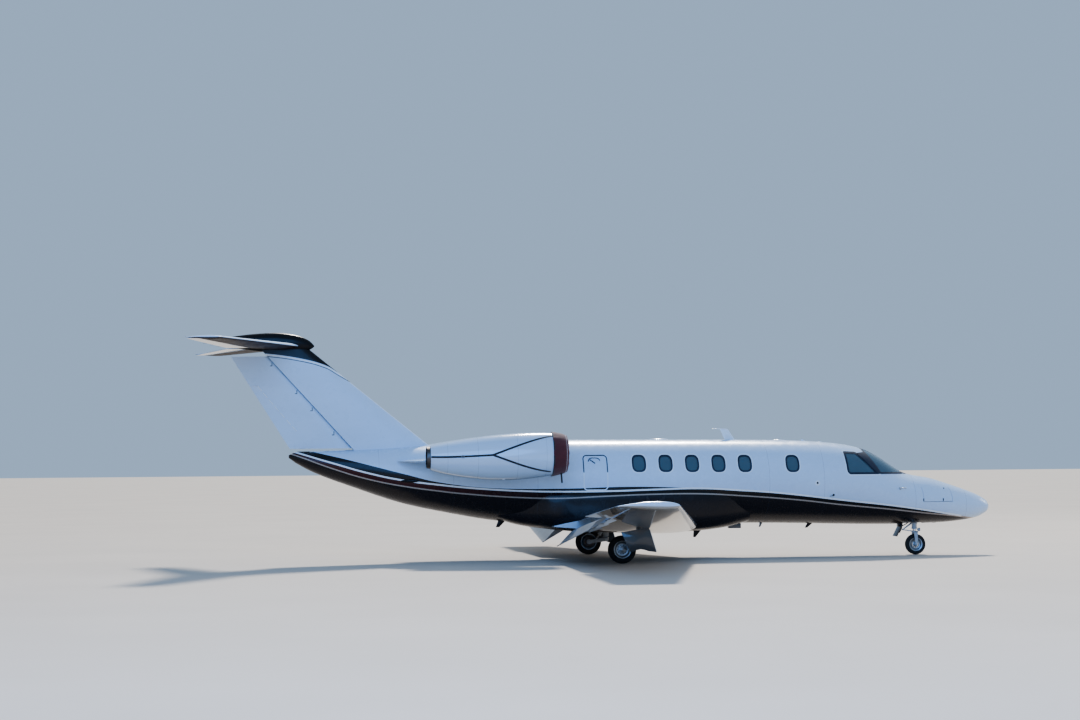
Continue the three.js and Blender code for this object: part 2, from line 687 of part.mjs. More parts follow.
place("flap_starboard", "white", mirrored(flap));

// Ailerons
function hingeCut(inner, outer, hinge, gap) {
  return loft([inner, outer].map((section) => {
    const { centre, r } = hingedRing(section, hinge);
    const { chord } = section;
    return [[r + gap, -chord], [r + gap, chord], [-chord, chord], [-chord, -chord]].map(
      ([dx, dz]) => new THREE.Vector3(centre.x + dx, section.y, centre.z + dz));
  }));
}
const aileronIn = wingAt(AILERON.innerY);
const aileronOut = wingAt(AILERON.outerY);
wing = wing.subtract(hingeCut(aileronIn, aileronOut, AILERON.hinge, RUN));

// A surface between two sections, with a pin at each end that reaches the faces beside it
function hinged(inner, outer, hinge) {
  const ends = [inner, outer].map((y) => hingedRing(y, hinge));
  const [a, b] = ends.map((end) => end.centre);
  const axis = b.clone().sub(a).normalize();
  const inside = [a.clone().addScaledVector(axis, PIN_ROOT), b.clone().addScaledVector(axis, -PIN_ROOT)];
  const across = new THREE.Vector3(0, 1, 0);
  const pins = [
    pinTo(inside[0], axis.clone().negate(), across.clone().negate(), -(a.y - RUN)),
    pinTo(inside[1], axis, across, b.y + RUN),
  ];
  return { shape: loft(ends.map((end) => end.ring)).add(pins[0]).add(pins[1]), pivot: a, axis };
}
const aileron = hinged(wingAt(AILERON.innerY + RUN), wingAt(AILERON.outerY - RUN), AILERON.hinge).shape;
place("wing_port", "white", wing);
place("wing_starboard", "white", mirrored(wing));
place("aileron_port", "white", aileron);
place("aileron_starboard", "white", mirrored(aileron));

// Fin and rudder, as foils that lie in level planes
function finAt(z) {
  const s = (z - FIN.baseZ) / (FIN.topZ - FIN.baseZ);
  const mix = (a, b) => a + (b - a) * s;
  const x = mix(FIN.baseLe, FIN.topLe);
  const te = mix(FIN.baseTe, FIN.topTe);
  return { y: 0, z: 0, level: z, x, chord: x - te, thick: mix(FIN.baseThick, FIN.topThick), camber: 0,
    hinge: (x - mix(FIN.baseHinge, FIN.topHinge)) / (x - te) };
}
const upright = (ring, z) => ring.map((p) => new THREE.Vector3(p.x, p.z, z));
const finRing = (z) => upright(foilRing(finAt(z)), z);

// The rudder's nose is round about its slanted hinge line, so it is long in a level section
const hingeRun = FIN.topHinge - FIN.baseHinge;
const hingeRise = FIN.topZ - FIN.baseZ;
const RUDDER_NOSE = Math.hypot(hingeRun, hingeRise) / hingeRise;
const finCutRing = (z) => {
  const section = finAt(z);
  const { centre, r } = hingedRing(section, section.hinge);
  const front = r * RUDDER_NOSE + RUN;
  const { chord } = section;
  return [[front, -chord], [front, chord], [-chord, chord], [-chord, -chord]].map(
    ([dx, dy]) => new THREE.Vector3(centre.x + dx, dy, z));
};
const rudderRing = (z) => {
  const section = finAt(z);
  return upright(hingedRing(section, section.hinge, RUDDER_NOSE).ring, z);
};
const finSpan = [FIN_FOOT, FIN.topZ + FIN_PAST];
let fin = loft(finSpan.map(finRing));
const finCutSpan = [FIN_FOOT - FIN_PAST, FIN.topZ + 2 * FIN_PAST];
fin = fin.subtract(loft(finCutSpan.map(finCutRing))).subtract(hull);

const bulletLoft = (grow) => loft(BULLET.map(([x, z, r]) => Array.from({ length: BULLET_POINTS }, (_, j) => {
  const a = (2 * Math.PI * j) / BULLET_POINTS;
  const { across, up } = BULLET_OVAL;
  return new THREE.Vector3(x, across * (r + grow) * Math.sin(a), z + up * (r + grow) * Math.cos(a));
})));

function stabAt(y) {
  const s = Math.abs(y) / STABILISER.tipY;
  return {
    y,
    x: STABILISER.rootX + (STABILISER.tipX - STABILISER.rootX) * s,
    z: STABILISER.z,
    chord: STABILISER.rootChord + (STABILISER.tipChord - STABILISER.rootChord) * s,
    thick: STABILISER.thick,
    camber: 0,
  };
}
const stabCut = hingeCut(stabAt(ELEVATOR.innerY), stabAt(ELEVATOR.outerY), ELEVATOR.hinge, RUN);
let stab = loft([-STABILISER.tipY, 0, STABILISER.tipY].map((y) => foilRing(stabAt(y))));
stab = stab.subtract(stabCut).subtract(mirrored(stabCut));
const level = hinged(stabAt(ELEVATOR.innerY + RUN), stabAt(ELEVATOR.outerY - RUN), ELEVATOR.hinge);
const elevator = rotated(level.shape, level.pivot.toArray(), level.axis.toArray(), -ELEVATOR.droop);
const stabSlot = { ...stabAt(0), thick: STABILISER.thick + STABILISER.slot };
fin = fin.subtract(loft([-STABILISER.middle, STABILISER.middle].map((y) => foilRing({ ...stabSlot, y }))));
place("fin", "white", largest(fin.subtract(bulletLoft(SEAT))));

// The rudder, on a pin that stands on the tail
const rudderLine = [RUDDER.lowZ, RUDDER.highZ].map((z) => {
  const { centre } = hingedRing(finAt(z), finAt(z).hinge);
  return new THREE.Vector3(centre.x, 0, z);
});
const rudderDown = rudderLine[0].clone().sub(rudderLine[1]).normalize();
const rudderInside = rudderLine[0].clone().addScaledVector(rudderDown, -RUDDER.pinRoot);
const tailTop = between(FUSELAGE, rudderLine[0].clone().addScaledVector(rudderDown, RUDDER.pinRoot).x, 1);
const rudderPin = pinTo(rudderInside, rudderDown, new THREE.Vector3(0, 0, -1), -tailTop - SEAT);
place("rudder", "white", loft([RUDDER.lowZ, RUDDER.highZ].map(rudderRing)).add(rudderPin));
place("stabiliser", "white", stab);
place("elevator_port", "white", elevator);
place("elevator_starboard", "white", mirrored(elevator));
const stabGrown = loft([-STABILISER.middle, 0, STABILISER.middle].map((y) => {
  const s = stabAt(y);
  const chord = s.chord + 2 * SEAT;
  return foilRing({ ...s, x: s.x + SEAT, chord, thick: s.thick + (2 * SEAT) / chord });
}));
place("tail_bullet", "dark", bulletLoft(0).subtract(stabGrown));

// Engines and their nacelles
function nacelleLoft(table, grow, from = -BEYOND, to = BEYOND) {
  const whole = loft(table.map(([x, z, radius]) => Array.from({ length: ROUND }, (_, j) => {
    const a = (2 * Math.PI * j) / ROUND;
    return new THREE.Vector3(x, NACELLE_Y + (radius + grow) * Math.sin(a), z + (radius + grow) * Math.cos(a));
  })));
  return whole.intersect(block(from, to, -BEYOND, BEYOND, -BEYOND, BEYOND));
}
const nacelleOuter = nacelleLoft(NACELLE, 0);
const nacelleGrown = nacelleLoft(NACELLE, SEAT);
const nacelle = nacelleOuter.subtract(nacelleLoft(DUCT, 0));
const engine = nacelleLoft(DUCT, -SEAT, ENGINE.aft, ENGINE.front);
const nozzle = nacelleLoft(DUCT, -SEAT, NOZZLE.aft, NOZZLE.front).subtract(nacelleLoft(DUCT, -NOZZLE.thick));
const coverOuter = loft([
  ...COVER.on.map((x) => [x, between(NACELLE, x, 2) + COVER.thick]), ...COVER.past,
].map(([x, r]) => Array.from({ length: ROUND }, (_, j) => {
  const a = (2 * Math.PI * j) / ROUND;
  return new THREE.Vector3(x, NACELLE_Y + r * Math.sin(a), between(NACELLE, x, 1) + r * Math.cos(a));
})));
const cover = coverOuter.subtract(nacelleGrown);
const pylonLoft = loft([PYLON.rootY, PYLON.tipY].map((y) => {
  const s = (y - PYLON.rootY) / (PYLON.tipY - PYLON.rootY);
  const x = PYLON.rootFront + (PYLON.tipFront - PYLON.rootFront) * s;
  const te = PYLON.rootAft + (PYLON.tipAft - PYLON.rootAft) * s;
  return foilRing({ y, x, z: PYLON.z, chord: x - te, thick: PYLON.thick / (x - te), camber: 0 });
}));
const pylon = largest(pylonLoft.subtract(hull).subtract(nacelleGrown));
for (const [name, flip] of [["port", false], ["starboard", true]]) {
  const side = (shape) => (flip ? mirrored(shape) : shape);
  place(`nacelle_${name}`, "white", side(nacelle));
  place(`engine_${name}`, "grey", side(engine));
  place(`exhaust_nozzle_${name}`, "burnt", side(nozzle));
  place(`inlet_cover_${name}`, "cloth", side(cover));
  place(`pylon_${name}`, "white", side(pylon));
}

// Main gear: leg with trailing arm and axle in one piece, leg door, tyre and wheel
const wheelY = TRACK / 2;
const axleRadius = (size) => size.hub * Math.cos(Math.PI / WHEEL_SIDES) - SEAT;
function wheelPair(name, x, y, z, size) {
  const half = size.wide / 2;
  const { bead, widest, shoulder, crown } = TYRE;
  const outer = [
    [bead, size.rim], [1, size.rim + (size.r - size.rim) * widest],
    [shoulder.out, size.r - shoulder.down], [crown.out, size.r - crown.down],
  ];
  const tyre = turned("y", [x, y, z], [
    ...outer.map(([out, r]) => [-out * half, r]), [0, size.r],
    ...outer.reverse().map(([out, r]) => [out * half, r]), [-bead * half, size.rim],
  ]);
  const { flange, lip, dish, web, boss, bossOut } = WHEEL;
  const rim = turned("y", [x, y, z], [
    [-flange, size.hub], [-flange, size.rim - SEAT], [flange, size.rim - SEAT],
    [flange, size.rim - lip], [dish, size.rim - web], [dish, size.hub + 2 * boss + 2],
    [bossOut, size.hub + boss], [bossOut, size.hub], [-flange, size.hub],
  ].map(([out, r]) => [out * half, r]));
  place(`${name}_tyre`, "rubber", tyre);
  place(`${name}_wheel`, "metal", rim);
}

// Lower surface of the wing at a plan position
function wingUnder(x, y) {
  const s = wingAt(y);
  return foilPoint(s, (s.x - x) / s.chord, -1).z;
}
const legTop = wingUnder(LEG.x, wheelY) + LEG.past;
const wingGrown = wingBody.translate([0, 0, -SEAT]);
let leg = bar([LEG.x, wheelY, LEG.armZ], [LEG.x, wheelY, legTop], LEG.r);
leg = largest(leg.subtract(wingGrown));
const armY = wheelY - MAIN.wide / 2 - LEG.inset;
const { topX, topZ, footX, footZ, lugZ } = DAMPER;
const pivotIn = armY - LEG_PIVOT.inner;
const pivotOut = wheelY + LEG_PIVOT.outer;
const axleIn = armY - LEG_AXLE.inner;
const axleOut = wheelY + LEG_AXLE.outer;
const axleR = axleRadius(MAIN);
for (const legBar of [
  [[LEG.x, pivotIn, LEG.armZ], [LEG.x, pivotOut, LEG.armZ], LEG_PIVOT.r],
  [[LEG.x, armY, LEG.armZ], [MAIN.x, armY, MAIN.r], LEG_ARM.r, LEG_ARM.endR],
  [[MAIN.x, axleIn, MAIN.r], [MAIN.x, axleOut, MAIN.r], axleR],
  [[topX, armY, topZ], [footX, armY, footZ], DAMPER.r],
  [[topX, armY, lugZ], [LEG.x, wheelY, lugZ], DAMPER.lugR],
]) {
  leg = leg.add(bar(...legBar));
}
const doorY = wheelY + LEG_DOOR_OUT;
const legDoor = prism("xz", LEG_DOOR, doorY, doorY + LEG_DOOR_THICK).subtract(wingGrown);
for (const z of LEG.stubs) {
  leg = leg.add(bar([LEG.x, wheelY, z], [LEG.x, doorY - SEAT, z], LEG.stubR));
}
for (const [name, flip] of [["port", false], ["starboard", true]]) {
  const side = (shape) => (flip ? mirrored(shape) : shape);
  place(`main_leg_${name}`, "grey", side(leg));
  place(`leg_door_${name}`, "white", side(legDoor));
  wheelPair(`main_${name}`, MAIN.x, flip ? -wheelY : wheelY, MAIN.r, MAIN);
}

// Nose gear
wheelPair("nose", NOSE_GEAR.x, 0, NOSE_GEAR.r, NOSE_GEAR);
const strut = bar([NOSE_GEAR.strutX, 0, STRUT.splitZ], [NOSE_GEAR.strutX, 0, NOSE_BAY.roof - SEAT], STRUT.r);
place("nose_strut", "grey", strut);
let fork = bar([NOSE_GEAR.strutX, 0, FORK.crownZ], [NOSE_GEAR.strutX, 0, STRUT.splitZ - SEAT], STRUT.pistonR);
const { bladeY, bladeThick, bladeTop, bladeFoot, crownZ } = FORK;
const crownY = bladeY + bladeThick;
fork = fork.add(block(
  NOSE_GEAR.strutX - FORK.crownHalf, NOSE_GEAR.strutX + FORK.crownHalf, -crownY, crownY,
  crownZ - FORK.crownThick, crownZ,
));
for (const y of [[-crownY, -bladeY], [bladeY, crownY]]) {
  fork = fork.add(prism("xz", [
    [NOSE_GEAR.strutX - bladeTop, crownZ - FORK.bladeOverlap],
    [NOSE_GEAR.x - bladeFoot, NOSE_GEAR.r - bladeFoot],
    [NOSE_GEAR.x + bladeFoot, NOSE_GEAR.r - bladeFoot],
    [NOSE_GEAR.strutX + bladeTop, crownZ - FORK.bladeOverlap],
  ], ...y));
}
const axleHalf = bladeY + FORK.axlePast;
const axleEnds = [-axleHalf, axleHalf].map((y) => [NOSE_GEAR.x, y, NOSE_GEAR.r]);
fork = fork.add(bar(...axleEnds, axleRadius(NOSE_GEAR)));
place("nose_fork", "metal", fork);
const bayDoor = prism("xz", NOSE_GEAR_DOOR, -NOSE_GEAR_DOOR_HALF, NOSE_GEAR_DOOR_HALF);
place("nose_gear_door", "white", bayDoor);

// Inside the cabin
const floorOuter = fuselageLoft(FLOOR.aft, FLOOR.front, WALL + SEAT);
const floorBlock = block(FLOOR.aft, FLOOR.front, ...acrossBoth, FLOOR.z - FLOOR.thick, FLOOR.z);
place("cabin_floor", "leather", floorOuter.intersect(floorBlock));
for (const seat of SEATS) {
  const half = seat.wide / 2;
  const { frontTop, rearTop, rake } = SEAT_BACK;
  const outline = [...SEAT_CUSHION, [frontTop, seat.high], [rearTop, seat.high - rake]];
  const base = block(
    seat.x + SEAT_BASE.aft, seat.x + SEAT_BASE.front, seat.y - SEAT_BASE.half, seat.y + SEAT_BASE.half,
    FLOOR.z + SEAT, FLOOR.z + SEAT_BASE.high,
  );
  const form = prism("xz", outline.map(([x, z]) => [seat.x + x, FLOOR.z + z]), seat.y - half, seat.y + half);
  place(seat.name, "leather", form.add(base));
}
const panelOuter = fuselageLoft(PANEL.aft, PANEL.front, WALL + SEAT);
place("instrument_panel", "dark", panelOuter.intersect(prism("xz", PANEL.outline, -PANEL.half, PANEL.half)));

export default group;
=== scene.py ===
"""A twin-engined business jet, parked on its gear with its flaps down and its inlets covered.

Every piece is in metres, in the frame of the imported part: +X is the nose, +Y is port, +Z is up.
"""

import math

import bmesh
import bpy
from mathutils import Matrix, Vector


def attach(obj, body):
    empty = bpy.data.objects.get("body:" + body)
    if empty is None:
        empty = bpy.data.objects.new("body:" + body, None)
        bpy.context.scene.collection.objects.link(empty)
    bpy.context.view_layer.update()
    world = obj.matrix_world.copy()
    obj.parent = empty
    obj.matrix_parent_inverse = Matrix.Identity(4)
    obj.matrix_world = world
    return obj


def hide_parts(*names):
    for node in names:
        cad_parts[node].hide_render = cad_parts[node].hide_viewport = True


bl_info = {
    "name": "Business jet",
    "version": (1, 0, 0),
    "blender": (4, 5, 0),
    "location": "3D View > Sidebar > Jet",
    "description": "Builds the jet's skins, glass, gear and fittings round its packed solids",
    "category": "Add Mesh",
}

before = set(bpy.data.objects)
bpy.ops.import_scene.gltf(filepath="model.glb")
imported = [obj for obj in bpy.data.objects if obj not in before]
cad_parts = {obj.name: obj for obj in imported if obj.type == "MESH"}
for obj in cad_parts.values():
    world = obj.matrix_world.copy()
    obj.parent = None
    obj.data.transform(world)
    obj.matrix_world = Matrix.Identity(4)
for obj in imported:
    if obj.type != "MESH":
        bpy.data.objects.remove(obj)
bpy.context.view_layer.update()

# Points round a ring of the body's wall
BODY_POINTS = 96
# Fuselage sections: station, crown, keel, half width
FUSELAGE = [
    (-6.2, 2.13, 2.07, 0.04), (-6.14, 2.19, 2.01, 0.12), (-5.7, 2.202, 1.772, 0.245),
    (-5.0, 2.225, 1.505, 0.385), (-4.0, 2.275, 1.165, 0.565), (-3.0, 2.325, 0.945, 0.715),
    (-2.2, 2.365, 0.805, 0.798), (-1.35, 2.395, 0.722, 0.832), (0.0, 2.395, 0.705, 0.838),
    (3.1, 2.372, 0.688, 0.838), (4.17, 2.345, 0.668, 0.83), (4.8, 2.298, 0.65, 0.808),
    (5.22, 2.234, 0.64, 0.778), (5.54, 2.132, 0.634, 0.748), (5.85, 1.962, 0.63, 0.712),
    (6.1, 1.795, 0.63, 0.676), (6.28, 1.69, 0.632, 0.645), (6.48, 1.632, 0.636, 0.608),
    (6.87, 1.563, 0.645, 0.532), (7.35, 1.412, 0.672, 0.418), (7.84, 1.233, 0.748, 0.262),
    (8.06, 1.106, 0.85, 0.14), (8.118, 1.024, 0.918, 0.058), (8.13, 0.975, 0.965, 0.006),
]

# Windows
WINDOW_SIZE = (0.272, 0.334)
WINDOW_BELT = (1.912, -0.0085)
WINDOW_POWER = 0.68
CABIN_WINDOWS = [0.683, 1.22, 1.757, 2.294, 2.831]
FORWARD_WINDOW = 3.809
SIDE_WINDOW = [(4.935, 2.112), (5.19, 2.098), (5.3, 1.99), (5.59, 1.668), (4.99, 1.668), (4.95, 1.72)]
WINDSHIELD = [(5.33, 2.42), (5.39, 2.135), (5.452, 2.01), (5.65, 1.668), (6.56, 1.668), (6.56, 2.42)]
WINDSHIELD_POST = 0.034
COCKPIT_POST = [(5.22, 2.09), (5.4, 2.11), (5.47, 2.0), (5.67, 1.66), (5.57, 1.66), (5.3, 1.96)]

# Doors: ends, low edge, high edge
ENTRY_DOOR = {"front": 4.17, "wide": 0.66, "low": 0.905, "high": 2.19, "hinge_y": 0.864,
              "sweep": math.radians(56)}
EXIT_HATCH = {"aft": -0.43, "front": 0.04, "low": 1.395, "high": 2.075}
NOSE_DOOR = {"aft": 6.56, "front": 7.18, "low": 1.09, "top": 1.38, "out": 0.034}
TAIL_DOOR = {"aft": -2.56, "front": -1.76, "low": 1.01, "top": 1.47, "out": 0.024}

# Gap between a moving surface and what it runs beside
RUN = 0.008
# Gap along a door's hinge-side edge
HINGE_EDGE = 0.0003

# Belly fairing: station, bottom, half width
FAIRING = [
    (-2.3, 0.9, 0.42), (-1.7, 0.712, 0.56), (-1.1, 0.618, 0.83), (-0.4, 0.556, 0.872),
    (0.8, 0.526, 0.88), (1.9, 0.548, 0.868), (2.5, 0.612, 0.78), (2.98, 0.72, 0.56),
]
FAIRING_MIDDLE = 1.15
FAIRING_RISE = 0.45
FAIRING_ROUND = (0.77, 0.5)

WING = {
    "root_y": 0.84, "tip_y": 7.745, "inner_y": 0.3, "root_x": 1.82, "tip_x": 0.096,
    "root_chord": 2.88, "tip_chord": 1.064, "root_z": 0.679, "tip_z": 1.218,
    "root_thick": 0.134, "tip_thick": 0.112, "camber": 0.018,
}
FLAP = {"inner": 1.01, "outer": 4.62, "lip": 0.745, "shroud": 0.835, "down": 35, "drop": 0.07, "slip": 0.023}
FLAP_HINGES = [0.48, 1.78, 3.08]
AILERON = {"inner": 4.76, "outer": 7.3, "hinge": 0.765}

FIN = {
    "base_z": 2.18, "top_z": 4.19, "base_le": -3.28, "top_le": -5.76,
    "base_hinge": -5.01, "top_hinge": -6.79, "base_te": -6.14, "top_te": -7.405,
    "base_thick": 0.095, "top_thick": 0.1,
}
RUDDER = (2.254, 4.078)
STABILISER = {
    "z": 4.285, "tip_y": 3.175, "root_x": -5.975, "tip_x": -7.478,
    "root_chord": 1.4, "tip_chord": 0.652, "thick": 0.098,
}
ELEVATOR = {"inner": 0.19, "outer": 3.06, "hinge": 0.7, "droop": 6}
BULLET = [
    (-7.4, 4.388, 0.06), (-7.25, 4.372, 0.095), (-6.9, 4.362, 0.14), (-6.5, 4.36, 0.16),
    (-6.2, 4.35, 0.15), (-5.95, 4.33, 0.118), (-5.78, 4.3, 0.07), (-5.7, 4.285, 0.01),
]

NACELLE_Y = 1.4
NACELLE = [
    (-3.52, 2.054, 0.236), (-3.3, 2.044, 0.292), (-3.06, 2.04, 0.338), (-2.7, 2.041, 0.392),
    (-2.37, 2.046, 0.43), (-1.91, 2.063, 0.452), (-1.5, 2.086, 0.445), (-1.22, 2.103, 0.425),
    (-1.05, 2.109, 0.405), (-0.94, 2.111, 0.383), (-0.88, 2.112, 0.355),
]
DUCT = [
    (-3.6, 2.056, 0.208), (-3.3, 2.046, 0.232), (-3.0, 2.05, 0.262), (-2.86, 2.06, 0.29),
    (-2.7, 2.07, 0.33), (-1.65, 2.07, 0.33), (-1.4, 2.086, 0.322), (-1.1, 2.106, 0.312),
    (-0.94, 2.111, 0.318), (-0.88, 2.112, 0.34),
]
PYLON = {
    "root_aft": -3.92, "root_front": -1.48, "tip_aft": -3.42, "tip_front": -1.64,
    "z": 2.01, "thick": 0.19,
}

# Inlet covers: where the hem lies, and the cloth past the lip as (station, radius)
COVER_HEM = -1.165
COVER_FRONT = [(-0.866, 0.352), (-0.85, 0.31), (-0.842, 0.24), (-0.838, 0.16), (-0.837, 0.08),
               (-0.8365, 0.02)]
COVER_FOLDS = [(9, 1.3, 1.0), (17, 0.4, 0.6), (29, 2.2, 0.25)]
# Strap runs on the nacelle: (station, degrees up from the outboard side)
STRAP_TOP, STRAP_LOW, STRAP_JOIN, STRAP_END = (-1.154, 56.6), (-1.21, -52.5), (-2.347, 6.5), (-3.515, 3.0)
BUCKLE = (-2.917, 4.6)

# Gear
MAIN_WHEEL = {"x": 0.096, "y": 2.0775, "z": 0.27, "r": 0.27, "half": 0.075, "rim": 0.158, "hub": 0.046}
NOSE_WHEEL = {"x": 6.562, "y": 0.0, "z": 0.21, "r": 0.21, "half": 0.056, "rim": 0.128, "hub": 0.034}
LEG = {"x": 0.455, "y": 1.9525, "r": 0.058, "arm_z": 0.32, "top": 0.8}
DAMPER = [(0.435, 0.585), (0.22, 0.3)]
LEG_DOOR = [
    (0.05, 0.6), (0.56, 0.69), (0.6, 0.66), (0.73, 0.217), (0.665, 0.226), (0.58, 0.238), (0.5, 0.264),
    (0.42, 0.277), (0.345, 0.262), (0.28, 0.236), (0.235, 0.225), (0.19, 0.29),
]
LEG_DOOR_Y = (2.2555, 2.2815)
STRUT = {"x": 6.548, "r": 0.052, "piston": 0.036, "split": 0.52, "roof": 0.815}
NOSE_BAY = ((6.24, -0.15, 0.3), (6.72, 0.15, 0.82))
NOSE_GEAR_DOOR = [(6.2403, 0.668), (6.262, 0.668), (6.262, 0.61), (6.142, 0.372), (6.126, 0.38),
                  (6.2403, 0.606)]

# Painted lines over their stations
DARK_EDGE = [
    (-6.2, 2.32), (-5.7, 2.183), (-5.12, 2.043), (-4.41, 1.856), (-3.95, 1.735), (-3.16, 1.55),
    (-2.18, 1.445), (-0.91, 1.425), (0.49, 1.45), (1.2, 1.436), (1.93, 1.402), (2.76, 1.352),
    (3.33, 1.312), (3.9, 1.253), (4.82, 1.14), (5.86, 1.02), (6.59, 0.918), (7.48, 0.779), (8.2, 0.66),
]
WHITE_LINE = [
    (-6.2, 2.222), (-6.06, 2.179), (-5.32, 1.953), (-4.61, 1.749), (-4.03, 1.624), (-3.27, 1.52),
    (-2.49, 1.44), (-1.51, 1.381), (-0.9, 1.367), (0.15, 1.37), (1.0, 1.392), (1.93, 1.406),
    (2.76, 1.358), (3.33, 1.318), (3.9, 1.259), (4.82, 1.146), (5.86, 1.026), (6.59, 0.924),
    (7.48, 0.785), (8.2, 0.666),
]
TAN_LINE = [
    (-6.2, 2.165), (-6.01, 2.099), (-5.32, 1.844), (-4.61, 1.63), (-3.95, 1.495), (-3.28, 1.399),
    (-2.82, 1.345), (-1.52, 1.25), (-0.9, 1.237), (0.0, 1.27), (1.06, 1.3), (1.93, 1.298),
    (2.76, 1.25), (3.9, 1.157), (4.82, 1.05), (5.86, 0.945), (6.59, 0.862), (7.48, 0.77), (8.2, 0.66),
]

# Panel joints: stations on the body and the nacelles, distances out on the wing
FRAME_SEAMS = (-4.45, -3.0, -1.35, 3.32, 4.45, 6.4, 7.55)
NACELLE_SEAMS = (-3.2, -2.62, -1.86, -1.3)
WING_SEAMS = (1.6, 2.9, 4.7, 6.1, 7.4)


class JetColours(bpy.types.PropertyGroup):
    """Colours of the jet's finishes."""

    # The white paint's blue tint is painted shade: white paint as it looks in shade under a blue sky
    white: bpy.props.FloatVectorProperty(
        name="White paint", description="Gloss paint of the upper skins", subtype="COLOR",
        default=(0.58, 0.71, 0.88), min=0, max=1)
    dark: bpy.props.FloatVectorProperty(
        name="Dark paint", description="Gloss paint of the belly", subtype="COLOR",
        default=(0.012, 0.009, 0.011), min=0, max=1)
    maroon: bpy.props.FloatVectorProperty(
        name="Maroon paint", description="Band between the painted lines", subtype="COLOR",
        default=(0.055, 0.012, 0.014), min=0, max=1)
    tan: bpy.props.FloatVectorProperty(
        name="Tan line", description="Lower painted line", subtype="COLOR",
        default=(0.42, 0.34, 0.28), min=0, max=1)
    cloth: bpy.props.FloatVectorProperty(
        name="Cover cloth", description="Cloth of the inlet covers", subtype="COLOR",
        default=(0.1, 0.014, 0.02), min=0, max=1)
    glass: bpy.props.FloatVectorProperty(
        name="Glass tint", description="Tint of the windows", subtype="COLOR",
        default=(0.1, 0.19, 0.25), min=0, max=1)
    floor: bpy.props.FloatVectorProperty(
        name="Floor", description="Colour of the stage floor", subtype="COLOR",
        default=(0.6, 0.53, 0.46), min=0, max=1)


class JetSizes(bpy.types.PropertyGroup):
    """Sizes that a user of the model would change."""

    wall: bpy.props.FloatProperty(
        name="Wall", description="Thickness of the fuselage shell", default=0.045, unit="LENGTH")
    around: bpy.props.IntProperty(
        name="Points around", description="Points round a fuselage ring", default=BODY_POINTS)
    chordwise: bpy.props.IntProperty(
        name="Points along a chord", description="Points on one side of a wing section", default=22)
    line: bpy.props.FloatProperty(
        name="Painted line", description="Width of the white line", default=0.034, unit="LENGTH")


# Every material by the name of its finish
FINISHES = {}


# Operators act on what is selected, so each step starts from nothing selected

def alone():
    """Leaves edit mode and deselects everything."""
    if bpy.context.object is not None and bpy.context.object.mode != "OBJECT":
        bpy.ops.object.mode_set(mode="OBJECT")
    bpy.ops.object.select_all(action="DESELECT")


def pick(*pieces):
    """Selects these pieces alone, with the first one active."""
    alone()
    for piece in pieces:
        piece.select_set(True)
    bpy.context.view_layer.objects.active = pieces[0]
    return pieces[0]


def named(piece, name):
    piece.name = name
    piece.data.name = name
    return piece


def settle(piece):
    """Puts a piece's place, turn and scale into its mesh."""
    pick(piece)
    bpy.ops.object.transform_apply(location=True, rotation=True, scale=True)
    return piece


def join(name, pieces):
    pick(*pieces)
    if len(pieces) > 1:
        bpy.ops.object.join()
    return named(bpy.context.object, name)


def copy_of(piece, name):
    """A copy with its own mesh and without what was declared of the first."""
    pick(piece)
    bpy.ops.object.duplicate()
    twin = named(bpy.context.object, name)
    for key in list(twin.keys()):
        del twin[key]
    return twin


def mirrored(piece, name):
    """The piece's copy on the other side, with its faces outwards."""
    twin = copy_of(piece, name)
    twin.data.transform(Matrix.Scale(-1, 4, (0, 1, 0)))
    twin.data.flip_normals()
    return twin


def drop(*pieces):
    for piece in pieces:
        mesh = piece.data
        bpy.data.objects.remove(piece)
        if mesh.users == 0:
            bpy.data.meshes.remove(mesh)


def cut(piece, cutter, operation="DIFFERENCE", keep=False):
    """Cuts a piece with another, which is then removed."""
    pick(piece)
    modifier = piece.modifiers.new("cut", "BOOLEAN")
    modifier.operation = operation
    modifier.object = cutter
    modifier.solver = "EXACT"
    bpy.ops.object.modifier_apply(modifier=modifier.name)
    if not piece.data.polygons:
        raise RuntimeError(f"{piece.name}: the cut left nothing")
    if not keep:
        drop(cutter)
    return piece


def smooth(piece, degrees=30):
    pick(piece)
    bpy.ops.object.shade_smooth_by_angle(angle=math.radians(degrees))
    return piece


def outward(piece):
    """Merges doubles and turns every face outwards."""
    pick(piece)
    bpy.ops.object.mode_set(mode="EDIT")
    bpy.ops.mesh.select_all(action="SELECT")
    bpy.ops.mesh.remove_doubles(threshold=1e-5)
    bpy.ops.mesh.normals_make_consistent(inside=False)
    bpy.ops.object.mode_set(mode="OBJECT")
    return piece


def dress(piece, finish, body="airframe", replaces=()):
    """Gives a finished piece its material and body, and hides the parts it replaces."""
    piece.data.materials.clear()
    piece.data.materials.append(FINISHES[finish])
    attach(piece, body)
    if replaces:
        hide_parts(*replaces)
    return piece


def across(name):
    """The name of the same thing on the other side."""
    here, there = ("starboard", "port") if "starboard" in name else ("port", "starboard")
    return name.replace(here, there)


def both_sides(piece, finish, body="airframe", replaces=()):
    """Dresses a piece and its twin on the other side."""
    dress(piece, finish, body, replaces)
    twin = mirrored(piece, across(piece.name))
    dress(twin, finish, across(body), [across(node) for node in replaces])


# Shapes

def between(table, x, column):
    """A value between table rows, smooth through them."""
    last = len(table) - 1
    at = min(max(x, table[0][0]), table[last][0])
    i = 0
    while i < last - 1 and at > table[i + 1][0]:
        i += 1

    def slope(k):
        lo, hi = max(k - 1, 0), min(k + 1, last)
        return (table[hi][column] - table[lo][column]) / (table[hi][0] - table[lo][0])

    span = table[i + 1][0] - table[i][0]
    t = (at - table[i][0]) / span
    p, q = table[i][column], table[i + 1][column]
    m, n = slope(i) * span, slope(i + 1) * span
    return (p * (2 * t**3 - 3 * t * t + 1) + m * (t**3 - 2 * t * t + t)
            + q * (3 * t * t - 2 * t**3) + n * (t**3 - t * t))


